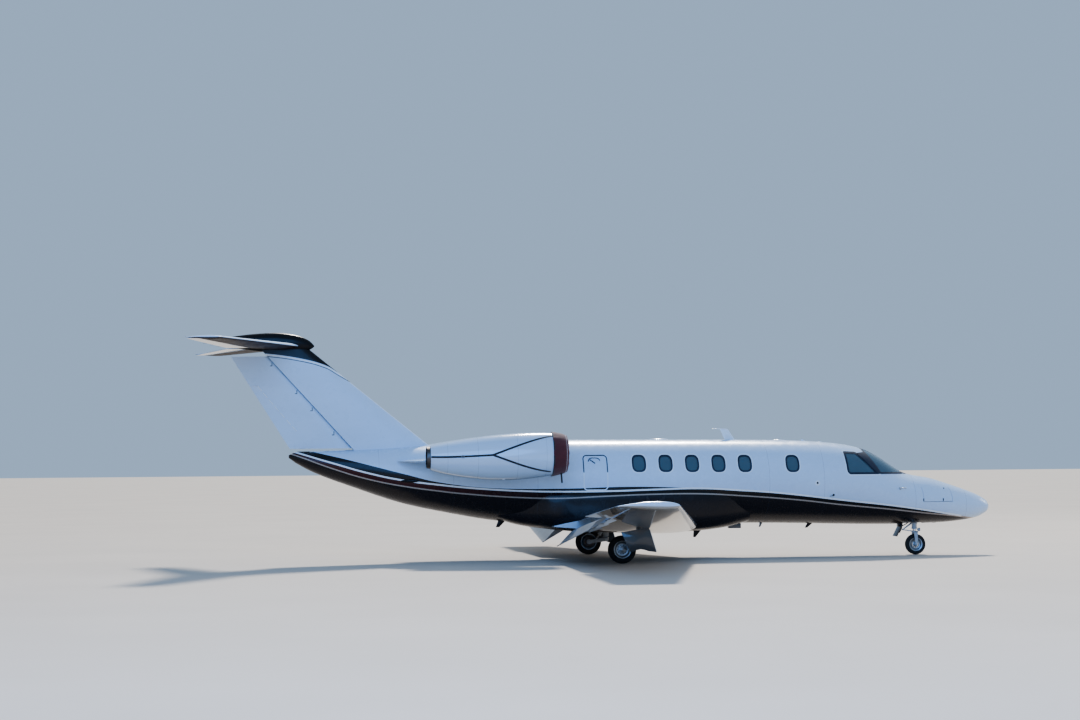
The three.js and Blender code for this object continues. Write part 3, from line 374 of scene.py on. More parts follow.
def steps(start, stop, count):
    return [start + (stop - start) * i / (count - 1) for i in range(count)]


def tube(name, rings, count, closed=False):
    """A skin through upright rings (x, y, z, half width, half height), each extruded from the last.

    A closed one runs back to its first ring; another is capped at both ends."""
    alone()
    x, y, z, wide, high = rings[0]
    bpy.ops.mesh.primitive_circle_add(
        vertices=count, radius=1, fill_type="NOTHING" if closed else "NGON",
        location=(x, y, z), rotation=(0, math.pi / 2, 0))
    piece = bpy.context.object
    piece.scale = (high, wide, 1)
    settle(piece)
    bpy.ops.object.mode_set(mode="EDIT")
    bpy.ops.mesh.select_mode(type="EDGE")
    bpy.ops.mesh.select_all(action="SELECT")
    rest = rings[1:] + ([rings[0]] if closed else [])
    for nx, ny, nz, nwide, nhigh in rest:
        bpy.ops.mesh.extrude_edges_move(TRANSFORM_OT_translate={"value": (nx - x, ny - y, nz - z)})
        bpy.ops.transform.resize(value=(1, nwide / wide, nhigh / high), center_override=(nx, ny, nz))
        x, y, z, wide, high = nx, ny, nz, nwide, nhigh
    if not closed:
        bpy.ops.mesh.edge_face_add()
    bpy.ops.object.mode_set(mode="OBJECT")
    return outward(named(piece, name))


def loft(name, rings, caps=(True, True)):
    """A skin through rings of equal length, for sections that no operator draws."""
    work = bmesh.new()
    rows = [[work.verts.new(point) for point in ring] for ring in rings]
    count = len(rows[0])
    for near, far in zip(rows, rows[1:]):
        for j in range(count):
            k = (j + 1) % count
            work.faces.new((near[j], near[k], far[k], far[j]))
    for row, closed in ((rows[0], caps[0]), (rows[-1], caps[1])):
        if closed:
            work.faces.new(row)
    bmesh.ops.remove_doubles(work, verts=work.verts[:], dist=1e-6)
    bmesh.ops.dissolve_degenerate(work, edges=work.edges[:], dist=1e-6)
    bmesh.ops.recalc_face_normals(work, faces=work.faces[:])
    mesh = bpy.data.meshes.new(name)
    work.to_mesh(mesh)
    work.free()
    piece = bpy.data.objects.new(name, mesh)
    bpy.context.collection.objects.link(piece)
    return piece


def slab(name, outline, start, stop, radius=0.0, segments=6, plane="xz"):
    """An outline drawn out along the third axis, with its corners rounded."""
    place = {
        "xz": lambda a, b: (a, start, b),
        "xy": lambda a, b: (a, b, start),
        "yz": lambda a, b: (start, a, b),
    }[plane]
    mesh = bpy.data.meshes.new(name)
    mesh.from_pydata([place(a, b) for a, b in outline], [], [list(range(len(outline)))])
    piece = bpy.data.objects.new(name, mesh)
    bpy.context.collection.objects.link(piece)
    pick(piece)
    bpy.ops.object.mode_set(mode="EDIT")
    bpy.ops.mesh.select_all(action="SELECT")
    if radius:
        bpy.ops.mesh.bevel(offset=radius, segments=segments, affect="VERTICES")
        bpy.ops.mesh.select_all(action="SELECT")
    run = {"xz": (0, stop - start, 0), "xy": (0, 0, stop - start), "yz": (stop - start, 0, 0)}[plane]
    bpy.ops.mesh.extrude_region_move(TRANSFORM_OT_translate={"value": run})
    bpy.ops.mesh.select_all(action="SELECT")
    bpy.ops.mesh.normals_make_consistent(inside=False)
    bpy.ops.object.mode_set(mode="OBJECT")
    return piece


def rectangle(x0, x1, z0, z1):
    return [(x0, z0), (x1, z0), (x1, z1), (x0, z1)]


def bar(name, start, end, r0, r1=None, sides=32, soft=0.0):
    """A round bar or a cone between two points, with its rims rounded off."""
    a, b = Vector(start), Vector(end)
    alone()
    bpy.ops.mesh.primitive_cone_add(
        vertices=sides, radius1=r0, radius2=r0 if r1 is None else r1, depth=(b - a).length,
        location=(a + b) / 2, rotation=(b - a).to_track_quat("Z", "Y").to_euler())
    piece = settle(named(bpy.context.object, name))
    if soft:
        bevel(piece, soft)
    return piece


def pin(name, x, y, z, half, r, soft, sides=32):
    """A round bar that lies across the jet, by its middle and its half length."""
    return bar(name, (x, y - half, z), (x, y + half, z), r, sides=sides, soft=soft)


def box(name, low, high, soft=0.0, segments=3):
    """A block between two corners, with its edges rounded off."""
    alone()
    bpy.ops.mesh.primitive_cube_add(size=1, location=[(a + b) / 2 for a, b in zip(low, high)])
    piece = bpy.context.object
    piece.scale = [b - a for a, b in zip(low, high)]
    settle(named(piece, name))
    if soft:
        bevel(piece, soft, segments)
    return piece


def bevel(piece, width, segments=3, degrees=30):
    pick(piece)
    modifier = piece.modifiers.new("bevel", "BEVEL")
    modifier.width, modifier.segments = width, segments
    modifier.limit_method = "ANGLE"
    modifier.angle_limit = math.radians(degrees)
    bpy.ops.object.modifier_apply(modifier=modifier.name)
    return piece


def turned(name, axis, centre, profile, count=64):
    """A closed profile of (along, radius) pairs, spun about a line along X, Y or Z."""
    spots = {
        "x": lambda along, r: (along, 0.0, r),
        "y": lambda along, r: (r, along, 0.0),
        "z": lambda along, r: (r, 0.0, along),
    }[axis]
    mesh = bpy.data.meshes.new(name)
    edges = [(i, (i + 1) % len(profile)) for i in range(len(profile))]
    mesh.from_pydata([spots(*pair) for pair in profile], edges, [])
    piece = bpy.data.objects.new(name, mesh)
    bpy.context.collection.objects.link(piece)
    pick(piece)
    bpy.ops.object.mode_set(mode="EDIT")
    bpy.ops.mesh.select_all(action="SELECT")
    line = {"x": (1, 0, 0), "y": (0, 1, 0), "z": (0, 0, 1)}[axis]
    bpy.ops.mesh.spin(steps=count, angle=2 * math.pi, center=(0, 0, 0), axis=line)
    bpy.ops.mesh.select_all(action="SELECT")
    bpy.ops.mesh.remove_doubles(threshold=1e-5)
    bpy.ops.mesh.normals_make_consistent(inside=False)
    bpy.ops.object.mode_set(mode="OBJECT")
    piece.data.transform(Matrix.Translation(centre))
    return smooth(piece, 32)


def pipe(name, points, radius, sides=10):
    """A round line bent through points."""
    curve = bpy.data.curves.new(name, "CURVE")
    curve.dimensions, curve.bevel_depth, curve.bevel_resolution = "3D", radius, sides // 2
    curve.use_fill_caps = True
    spline = curve.splines.new("NURBS")
    spline.points.add(len(points) - 1)
    for spot, point in zip(spline.points, points):
        spot.co = (*point, 1)
    spline.use_endpoint_u, spline.order_u, spline.resolution_u = True, 3, 6
    piece = bpy.data.objects.new(name, curve)
    bpy.context.collection.objects.link(piece)
    pick(piece)
    bpy.ops.object.convert(target="MESH")
    return smooth(outward(named(bpy.context.object, name)), 50)


def strap(name, points, outs, width, thick):
    """Flat webbing along points, lying square to the given outward directions."""
    rings = []
    for i, (point, out) in enumerate(zip(points, outs)):
        run = (points[min(i + 1, len(points) - 1)] - points[max(i - 1, 0)]).normalized()
        out = (out - run * out.dot(run)).normalized()
        side = run.cross(out) * width / 2
        rise = out * thick
        rings.append([point + side, point + side * 0.96 + rise, point - side * 0.96 + rise, point - side])
    return smooth(loft(name, rings), 40)


def swing(piece, point, axis, degrees):
    """Turns a piece's mesh about a line."""
    turn = Matrix.Rotation(math.radians(degrees), 4, axis)
    piece.data.transform(Matrix.Translation(point) @ turn @ Matrix.Translation(-point))
    return piece


# Fuselage

def oval(x, inset=0.0):
    """A fuselage ring at a station, moved in by a distance."""
    crown, keel, half = (between(FUSELAGE, x, column) for column in (1, 2, 3))
    return (x, 0.0, (crown + keel) / 2, half - inset, (crown - keel) / 2 - inset)


def stations(start, stop, step=0.12):
    """Stations along the body, closer together towards the nose tip."""
    found = [start]
    while found[-1] < stop - 1e-6:
        x = found[-1]
        pace = step if x < 7.3 else max(0.004, (8.135 - x) * 0.16)
        found.append(min(x + pace, stop))
    return found


def shell(name, start, stop, outer, inner):
    """A hollow stretch of the body's wall between two depths."""
    xs = stations(start, stop)
    rings = [oval(x, outer) for x in xs] + [oval(x, inner) for x in reversed(xs)]
    return tube(name, rings, BODY_POINTS, closed=True)


def skin_at(x, z):
    """Half width of the skin at a station and a height."""
    _, _, middle, half, high = oval(x)
    return half * math.sqrt(max(0.0, 1 - ((z - middle) / high) ** 2))


def body_shading(piece):
    """Shades what was cut from the body as the smooth body, and its cut edges as they are."""
    mesh = piece.data
    heights = {}

    def level(x, y, z):
        key = round(x, 5)
        if key not in heights:
            heights[key] = oval(x)
        _, _, middle, half, high = heights[key]
        return math.sqrt((y / half) ** 2 + ((z - middle) / high) ** 2)

    normals = []
    for vertex in mesh.vertices:
        x, y, z = vertex.co
        e = 0.002
        slope = Vector((
            level(min(x + e, 8.129), y, z) - level(x - e, y, z),
            level(x, y + e, z) - level(x, y - e, z),
            level(x, y, z + e) - level(x, y, z - e),
        ))
        normals.append(slope.normalized())
    chosen = [None] * len(mesh.loops)
    for face in mesh.polygons:
        face.use_smooth = True
        for index in face.loop_indices:
            normal = normals[mesh.loops[index].vertex_index]
            match = normal.dot(face.normal)
            chosen[index] = normal if match > 0.9 else -normal if match < -0.9 else face.normal
    mesh.normals_split_custom_set(chosen)
    return piece


def wall_piece(name, span, depths, cutter, hole=None):
    """What a cutter holds of the body's wall between two depths, less a hole."""
    piece = shell(name, *span, *depths)
    cut(piece, cutter, "INTERSECT")
    if hole:
        cut(piece, hole)
    return body_shading(piece)


def window_height(x):
    return WINDOW_BELT[0] + WINDOW_BELT[1] * (x - CABIN_WINDOWS[0])


def window_outline(x, grow=0.0, count=48):
    """A cabin window's outline, with full corners and sides that swell a little."""
    wide, high = WINDOW_SIZE[0] / 2 + grow, WINDOW_SIZE[1] / 2 + grow
    outline = []
    for i in range(count):
        c, s = math.cos(2 * math.pi * i / count), math.sin(2 * math.pi * i / count)
        outline.append((x + wide * math.copysign(abs(c) ** WINDOW_POWER, c),
                        window_height(x) + high * math.copysign(abs(s) ** WINDOW_POWER, s)))
    return outline


def window_block(x, side, grow=0.0, depth=(0.3, 1.0)):
    """A block through the wall at a cabin window."""
    return slab("window_block", window_outline(x, grow), side * depth[0], side * depth[1])


def cabin_window_places():
    """Station and side of every cabin window."""
    both = [(x, side) for x in CABIN_WINDOWS for side in (1, -1)]
    return [*both, (FORWARD_WINDOW, -1)]


def grown(outline, grow):
    """An outline in side view with each edge moved outwards."""
    count = len(outline)
    area = sum(outline[i - 1][0] * outline[i][1] - outline[i][0] * outline[i - 1][1] for i in range(count))
    turn = 1 if area > 0 else -1
    moved = []
    for i in range(count):
        before, here, after = (Vector(outline[(i + k) % count]) for k in (-1, 0, 1))
        a, b = (here - before).normalized(), (after - here).normalized()
        out_a, out_b = Vector((a.y, -a.x)) * turn, Vector((b.y, -b.x)) * turn
        spot = here + (out_a + out_b) * grow / (1 + out_a.dot(out_b))
        moved.append((spot.x, spot.y))
    return moved


def cockpit_block(outline, side, grow=0.0, radius=0.03):
    """A block through the wall at a cockpit window, on its side of the post."""
    inner = WINDSHIELD_POST - grow
    return slab("cockpit_block", grown(outline, grow), side * inner, side * 1.0,
                max(0.008, radius + min(0.0, 0.6 * grow)))


def doorway_outline(grow):
    """The entry door's plan, struck about its hinge line so that it swings clear."""
    r = ENTRY_DOOR["wide"] + grow
    x0, y0 = ENTRY_DOOR["front"], ENTRY_DOOR["hinge_y"]
    angles = [math.pi + t * ENTRY_DOOR["sweep"] for t in steps(0, 1, 13)]
    plan = [(x0 + r * math.cos(a), y0 + r * math.sin(a)) for a in angles]
    jamb = x0 + min(grow, HINGE_EDGE)
    return [*plan, (jamb, plan[-1][1]), (jamb, y0)]


def doorway(grow):
    low, high = ENTRY_DOOR["low"] - grow, ENTRY_DOOR["high"] + grow
    return slab("doorway", doorway_outline(grow), low, high, plane="xy")


def side_doorway(door, side, grow):
    """A hatch's doorway, square to the line along its top edge."""
    ends = [Vector((x, skin_at(x, door["top"]) + door["out"])) for x in (door["aft"], door["front"])]
    along = (ends[1] - ends[0]).normalized()
    out = Vector((-along.y, along.x))
    corners = [(0, -grow, -0.46), (1, grow, -0.46), (1, grow, 0.3), (0, -grow, 0.3)]
    plan = [ends[end] + along * run + out * reach for end, run, reach in corners]
    top = door["top"] + min(grow, HINGE_EDGE)
    return slab("side_doorway", [(p.x, side * p.y) for p in plan], door["low"] - grow, top, plane="xy")


def exit_block(grow):
    hatch = EXIT_HATCH
    outline = rectangle(
        hatch["aft"] - grow, hatch["front"] + grow, hatch["low"] - grow, hatch["high"] + grow)
    return slab("exit_block", outline, -1.0, -0.3, 0.07 + grow)


def skin_spot(x, z, side, out=0.0):
    """A point on the body's skin, moved outwards, and the way out there."""
    _, _, middle, half, high = oval(x)
    y = skin_at(x, z)
    way = Vector((0, side * y / half**2, (z - middle) / high**2)).normalized()
    return Vector((x, side * y, z)) + way * out, way


def stud(name, x, z, side, r, proud):
    """A small round fitting that stands square on the body's skin."""
    foot, way = skin_spot(x, z, side, -0.004)
    return smooth(bar(name, foot, foot + way * (proud + 0.004), r, r * 0.9, soft=min(0.0015, r / 4)), 40)


def skin_plate(name, cutter, span, proud=0.0015, hole=None):
    """A thin plate that follows the body's skin inside a cutter's outline."""
    return wall_piece(name, (span[0] - 0.06, span[1] + 0.06), (-proud, 0.0005), cutter, hole)


def blade(name, root, tip, thick):
    """An upright aerial from its root chord to its tip chord: (aft x, front x, z) each."""
    rings = []
    for t, swell in ((0, 1.0), (0.5, 0.8), (0.92, 0.6), (1, 0.2)):
        aft, front, z = (a + (b - a) * t for a, b in zip(root, tip))
        middle, half = (aft + front) / 2, (front - aft) / 2
        rings.append([Vector((middle + half * math.cos(a), thick / 2 * swell * math.sin(a), z))
                      for a in steps(0, 2 * math.pi, 25)[:-1]])
    return smooth(loft(name, rings), 50)


def dome(name, x0, x1, y, z, half, rise):
    """A low streamlined fairing that stands on a level line."""
    rings = []
    for a in steps(0.08, math.pi - 0.08, 15):
        x = (x0 + x1) / 2 - (x1 - x0) / 2 * math.cos(a)
        rings.append((x, y, z, half * math.sin(a), rise * math.sin(a)))
    return smooth(tube(name, rings, 32), 60)


def nacelle_spot(x, degrees, out=0.0):
    """A point on the starboard nacelle, by its angle up from the outboard side, and the way out there."""
    angle = math.radians(degrees)
    way = Vector((0, -math.cos(angle), math.sin(angle)))
    return Vector((x, -NACELLE_Y, between(NACELLE, x, 1))) + way * (between(NACELLE, x, 2) + out), way


# Wings and tails

def half_thickness(f, thick):
    form = 0.2969 * math.sqrt(f) - 0.126 * f - 0.3516 * f**2 + 0.2843 * f**3 - 0.1015 * f**4
    return 5 * thick * form + 0.002 * f


def foil_point(section, f, side):
    """A point on a section's upper (1) or lower (-1) side, at a share of its chord."""
    z = 4 * section["camber"] * f * (1 - f) + side * half_thickness(f, section["thick"])
    return Vector((
        section["x"] - f * section["chord"], section["y"], section["z"] + z * section["chord"]))


def wing_at(y):
    s = max(0.0, y - WING["root_y"]) / (WING["tip_y"] - WING["root_y"])
    mix = lambda key: WING["root_" + key] + (WING["tip_" + key] - WING["root_" + key]) * s
    return {"y": y, "camber": WING["camber"], "x": mix("x"), "z": mix("z"), "chord": mix("chord"),
            "thick": mix("thick")}


def stabiliser_at(y):
    s = abs(y) / STABILISER["tip_y"]
    mix = lambda key: STABILISER["root_" + key] + (STABILISER["tip_" + key] - STABILISER["root_" + key]) * s
    return {"y": y, "camber": 0.0, "x": mix("x"), "z": STABILISER["z"], "chord": mix("chord"),
            "thick": STABILISER["thick"]}


def fin_at(z):
    s = (z - FIN["base_z"]) / (FIN["top_z"] - FIN["base_z"])
    mix = lambda key: FIN["base_" + key] + (FIN["top_" + key] - FIN["base_" + key]) * s
    x, te = mix("le"), mix("te")
    return {"y": 0.0, "z": 0.0, "camber": 0.0, "x": x, "chord": x - te, "thick": mix("thick"),
            "hinge": (x - mix("hinge")) / (x - te)}


def shares(count):
    """Shares of the chord from the nose back, closest together at the nose."""
    return [(1 - math.cos(math.pi * i / (count - 1) * 0.5)) ** 1.15 for i in range(count)]


def foil_ring(section, count, upper_end=1.0, lower_end=1.0, tail=None):
    """A section's ring from its upper rear edge round the nose to its lower rear edge.

    With a tail, the ring stops at the two shares and runs back along the tail's points."""
    upper = [foil_point(section, f * upper_end, 1) for f in shares(count)]
    lower = [foil_point(section, f * lower_end, -1) for f in shares(count)][1:]
    closing = [section_point(section, *spot) for spot in tail] if tail else [
        (upper[-1] * (1 - t) + lower[-1] * t) for t in steps(0, 1, 8)[1:-1]]
    return [*reversed(upper), *lower, *reversed(closing)]


def section_point(section, f, side, drop_by):
    point = foil_point(section, f, side)
    point.z -= drop_by
    return point


def hinge_centre(section, share):
    """Middle and radius of a section at its hinge."""
    centre = foil_point(section, share, 1)
    centre.z = section["z"] + 4 * section["camber"] * share * (1 - share) * section["chord"]
    return centre, half_thickness(share, section["thick"]) * section["chord"]


def hinged_ring(section, share, count=12, stretch=1.0):
    """A hinged surface's section: a round nose about the hinge, then back to the trailing edge."""
    centre, r = hinge_centre(section, share)
    ring = []
    for angle in steps(math.pi / 2, -math.pi / 2, count):
        ring.append(Vector((centre.x + r * stretch * math.cos(angle), section["y"],
                            centre.z + r * math.sin(angle))))
    behind = steps(share, 1.0, 7)[1:]
    ring += [foil_point(section, f, -1) for f in behind]
    ring += [foil_point(section, f, 1) for f in reversed(behind)]
    return ring


def hinge_tail(section, share, gap=RUN):
    """The closing points of a skin that ends in a hollow in front of a hinged surface."""
    f = share - (half_thickness(share, section["thick"]) + gap / section["chord"])
    inside = share - 2.2 * half_thickness(share, section["thick"])
    return f, [(f, 1, 0.008), (inside, 1, 0.012), (inside, 1, 0.03), (inside, -1, -0.03),
               (inside, -1, -0.012), (f, -1, -0.008)]


def elevator_ends():
    return ELEVATOR["inner"] + RUN, ELEVATOR["outer"] - RUN


def drooped(piece):
    """Turns a port elevator's piece about its hinge line, to where the elevator hangs."""
    start, end = (hinge_centre(stabiliser_at(y), ELEVATOR["hinge"])[0] for y in elevator_ends())
    return swing(piece, start, (end - start).normalized(), -ELEVATOR["droop"])


def upright(ring, z):
    """A level section of the fin, stood at its height."""
    return [Vector((p.x, p.z, z)) for p in ring]


# Materials

def toned(colour, share):
    """A darker or a lighter tone of a colour."""
    return tuple(min(1, c * share) for c in colour)


class Finish:
    """Short calls that add nodes to one material."""

    def __init__(self, name, **settings):
        self.material = bpy.data.materials.new(name)
        self.material.use_nodes = True
        self.tree = self.material.node_tree
        self.shader = self.tree.nodes["Principled BSDF"]
        self.set(**settings)
        self.place = self.add("TexCoord").outputs["Object"]

    def set(self, **settings):
        """Values of the shader's own sockets, with _ for a space."""
        for key, value in settings.items():
            self.feed(self.shader.inputs[key.replace("_", " ")], value)
        return self

    def add(self, kind, inputs=None, **settings):
        node = self.tree.nodes.new("ShaderNode" + kind)
        for key, value in settings.items():
            setattr(node, key, value)
        for key, value in (inputs or {}).items():
            self.feed(node.inputs[key], value)
        return node

    def feed(self, socket, value):
        if isinstance(value, bpy.types.NodeSocket):
            self.tree.links.new(value, socket)
        elif socket.type == "RGBA" and len(value) == 3:
            socket.default_value = (*value, 1)
        else:
            socket.default_value = value

    def math(self, operation, a, b=0.0):
        return self.add("Math", {0: a, 1: b}, operation=operation).outputs[0]

    def mix(self, factor, a, b):
        node = self.add("Mix", {0: factor, 6: a, 7: b}, data_type="RGBA")
        return node.outputs[2]

    def noise(self, scale, detail=3.0, roughness=0.5, stretch=(1, 1, 1)):
        spot = self.add("Mapping", {"Vector": self.place, "Scale": stretch}).outputs[0]
        return self.add("TexNoise", {
            "Vector": spot, "Scale": scale, "Detail": detail, "Roughness": roughness}).outputs["Fac"]

    def axes(self):
        return self.add("SeparateXYZ", {0: self.place}).outputs

    def span(self, value, low, high, out_low=0.0, out_high=1.0):
        return self.add("MapRange", {
            "Value": value, "From Min": low, "From Max": high,
            "To Min": out_low, "To Max": out_high}).outputs[0]

    def line_height(self, x, points):
        """Height of a painted line at a station."""
        (x0, x1), heights = (points[0][0], points[-1][0]), [b for _, b in points]
        z0, z1 = min(heights) - 0.01, max(heights) + 0.01
        node = self.add("FloatCurve", {"Value": self.span(x, x0, x1)})
        curve = node.mapping.curves[0]
        spots = [((a - x0) / (x1 - x0), (b - z0) / (z1 - z0)) for a, b in points]
        curve.points[0].location, curve.points[1].location = spots[0], spots[-1]
        for spot in spots[1:-1]:
            curve.points.new(*spot)
        node.mapping.update()
        return self.span(node.outputs[0], 0, 1, z0, z1)

    def below(self, value, limit, soft=0.002):
        """1 where the value is under the limit."""
        over = self.math("SUBTRACT", limit, value)
        return self.span(over, -soft / 2, soft / 2)

    def within(self, value, middle, width, soft=0.002):
        """1 within a band about the middle."""
        away = self.math("ABSOLUTE", self.math("SUBTRACT", value, middle))
        return self.below(away, width / 2, soft)

    def bump(self, height, distance, strength=1.0):
        node = self.add("Bump", {"Height": height, "Distance": distance, "Strength": strength})
        self.tree.links.new(node.outputs[0], self.shader.inputs["Normal"])
        return self

    def colour(self, socket):
        self.feed(self.shader.inputs["Base Color"], socket)
        return self

    def roughness(self, socket):
        self.feed(self.shader.inputs["Roughness"], socket)
        return self


def gloss_paint(name, colour_of, roughness=(0.14, 0.22), coat=0.9, shine=0.5):
    """Gloss paint over metal: a faint orange peel, fine dirt and a clear coat."""
    finish = Finish(name, Coat_Weight=coat, Coat_Roughness=0.03, Specular_IOR_Level=shine)
    grime = finish.noise(1.3, 6, 0.6, (0.5, 1, 2.2))
    base = colour_of(finish)
    tint = finish.span(grime, 0.3, 0.75, 1.0, 0.94)
    shaded = finish.add("HueSaturation", {"Color": base, "Value": tint}).outputs[0]
    finish.colour(shaded)
    finish.roughness(finish.span(finish.noise(7, 4), 0.3, 0.7, *roughness))
    finish.bump(finish.noise(140, 2), 0.00002)
    return finish.material


def seams(finish, colour, along, places, width=0.005):
    """Fine dark joints between skin panels."""
    for place in places:
        colour = finish.mix(
            finish.math("MULTIPLY", finish.within(along, place, width, 0.001), 0.45), colour,
            (0.03, 0.04, 0.06))
    return colour


def livery(colours, line_width):
    """White upper body, dark belly, and the lines between them."""
    def colour_of(finish):
        x, _, z = (finish.axes()[i] for i in range(3))
        edge = finish.line_height(x, DARK_EDGE)
        white_line = finish.line_height(x, WHITE_LINE)
        tan_line = finish.line_height(x, TAN_LINE)
        ahead = finish.span(x, -3.2, -0.6)
        band = finish.mix(ahead, colours.maroon, (0.006, 0.006, 0.008))
        colour = finish.mix(finish.below(z, edge), colours.white, (0.008, 0.008, 0.01))
        colour = finish.mix(finish.below(z, white_line), colour, band)
        colour = finish.mix(finish.below(z, tan_line), colour, colours.dark)
        colour = finish.mix(finish.within(z, tan_line, line_width * 0.8), colour, colours.tan)
        tip = finish.below(x, 7.46, 0.05)
        white_mask = finish.math("MULTIPLY", finish.within(z, white_line, line_width), tip)
        colour = finish.mix(white_mask, colour, (0.9, 0.92, 0.94))
        return seams(finish, colour, x, FRAME_SEAMS)
    return gloss_paint("livery_paint", colour_of, (0.2, 0.32), 0.12, 0.3)


def fin_paint(colours):
    """White fin and rudder with a dark cap, a light line under it and a fine dark one."""
    def colour_of(finish):
        x, _, z = (finish.axes()[i] for i in range(3))
        edge = finish.line_height(x, [
            (-7.6, 4.2), (-6.73, 4.144), (-6.04, 4.052), (-5.51, 3.916), (-5.22, 3.755), (-4.6, 3.4)])
        above = finish.below(edge, z)
        colour = finish.mix(above, colours.white, (0.008, 0.008, 0.01))
        under = finish.math("SUBTRACT", edge, 0.022)
        colour = finish.mix(finish.within(z, under, 0.018), colour, (0.86, 0.88, 0.9))
        lower = finish.math("SUBTRACT", edge, 0.055)
        return finish.mix(finish.within(z, lower, 0.014), colour, (0.02, 0.02, 0.03))
    return gloss_paint("fin_paint", colour_of, (0.25, 0.35), 0.1, 0.3)


def panelled_paint(name, colour, axis, places, under=None, **options):
    """Gloss paint with panel joints across an axis, and another tone on faces that look down: on the wing a
    painted reflection of the sunlit ground.
    """
    def colour_of(finish):
        tone = finish.mix(finish.noise(0.8, 2), colour, toned(colour, 0.96))
        if under:
            # Faces that look down take the under tone; on the wing paint it is a painted ground reflection
            look = finish.add("NewGeometry").outputs["Normal"]
            down = finish.span(finish.add("SeparateXYZ", {0: look}).outputs[2], -0.1, -0.45)
            tone = finish.mix(down, tone, under)
        along = finish.axes()[axis]
        along = finish.math("ABSOLUTE", along) if axis == 1 else along
        return seams(finish, tone, along, places, 0.004)
    return gloss_paint(name, colour_of, **options)


def plain_paint(name, colour, **options):
    return gloss_paint(name, lambda finish: finish.mix(
        finish.noise(0.8, 2), colour, toned(colour, 0.96)), **options)


def metal(name, colour, rough=(0.25, 0.45), scale=60, grain=(1, 1, 1)):
    """Machined or cast metal with fine grain and small wear."""
    finish = Finish(name, Metallic=1.0)
    wear = finish.noise(9, 5)
    finish.colour(finish.mix(finish.span(wear, 0.35, 0.7), colour, toned(colour, 0.72)))
    finish.roughness(finish.span(finish.noise(scale, 3, 0.6, grain), 0.3, 0.7, *rough))
    return finish.bump(finish.noise(scale * 4, 2), 0.0002).material


def plain(name, colour, rough=(0.45, 0.65), scale=90, depth=0.0004, **settings):
    """Moulded, painted or trimmed surfaces with a fine texture."""
    finish = Finish(name, **settings)
    finish.colour(finish.mix(
        finish.span(finish.noise(6, 5), 0.3, 0.7), colour, toned(colour, 0.78)))
    finish.roughness(finish.span(finish.noise(scale, 3), 0.3, 0.7, *rough))
    return finish.bump(finish.noise(scale * 3, 2), depth).material


def woven(name, colour, pitch=0.0025):
    """Coated cloth with a plain weave."""
    finish = Finish(name, Roughness=0.8, Sheen_Weight=0.35)
    warp = finish.add("TexWave", {"Vector": finish.place, "Scale": 0.16 / pitch},
                      bands_direction="X").outputs["Fac"]
    weft = finish.add("TexWave", {"Vector": finish.place, "Scale": 0.16 / pitch},
                      bands_direction="Z").outputs["Fac"]
    thread = finish.math("MULTIPLY", warp, weft)
    fade = finish.span(finish.noise(5, 5), 0.3, 0.75)
    tone = finish.mix(fade, colour, toned(colour, 0.6))
    finish.colour(finish.mix(finish.math("MULTIPLY", thread, 0.4), tone, toned(colour, 1.6)))
    return finish.bump(thread, 0.0004).material


def tinted_glass(name, tint):
    finish = Finish(name, Transmission_Weight=0.35, IOR=1.45, Coat_Weight=0.5, Coat_Roughness=0.02)
    haze = finish.noise(3, 3)
    finish.colour(finish.mix(haze, tint, toned(tint, 0.8)))
    finish.roughness(finish.span(haze, 0.2, 0.8, 0.02, 0.06))
    return finish.material


def veneer(name):
    finish = Finish(name, Coat_Weight=0.6, Coat_Roughness=0.08)
    grain = finish.span(finish.noise(14, 6, 0.6, (0.12, 1, 1)), 0.3, 0.7)
    finish.colour(finish.mix(grain, (0.16, 0.07, 0.03), (0.07, 0.03, 0.015)))
    finish.roughness(finish.span(grain, 0, 1, 0.3, 0.45))
    return finish.bump(grain, 0.0001).material


def display(name):
    """A screen with a plain horizon and no writing."""
    finish = Finish(name, Coat_Weight=0.8, Coat_Roughness=0.03)
    haze = finish.noise(5, 3)
    finish.colour(finish.mix(finish.below(finish.axes()[2], 1.42), (0.02, 0.07, 0.16), (0.06, 0.03, 0.015)))
    finish.roughness(finish.span(haze, 0.2, 0.8, 0.15, 0.25))
    return finish.material


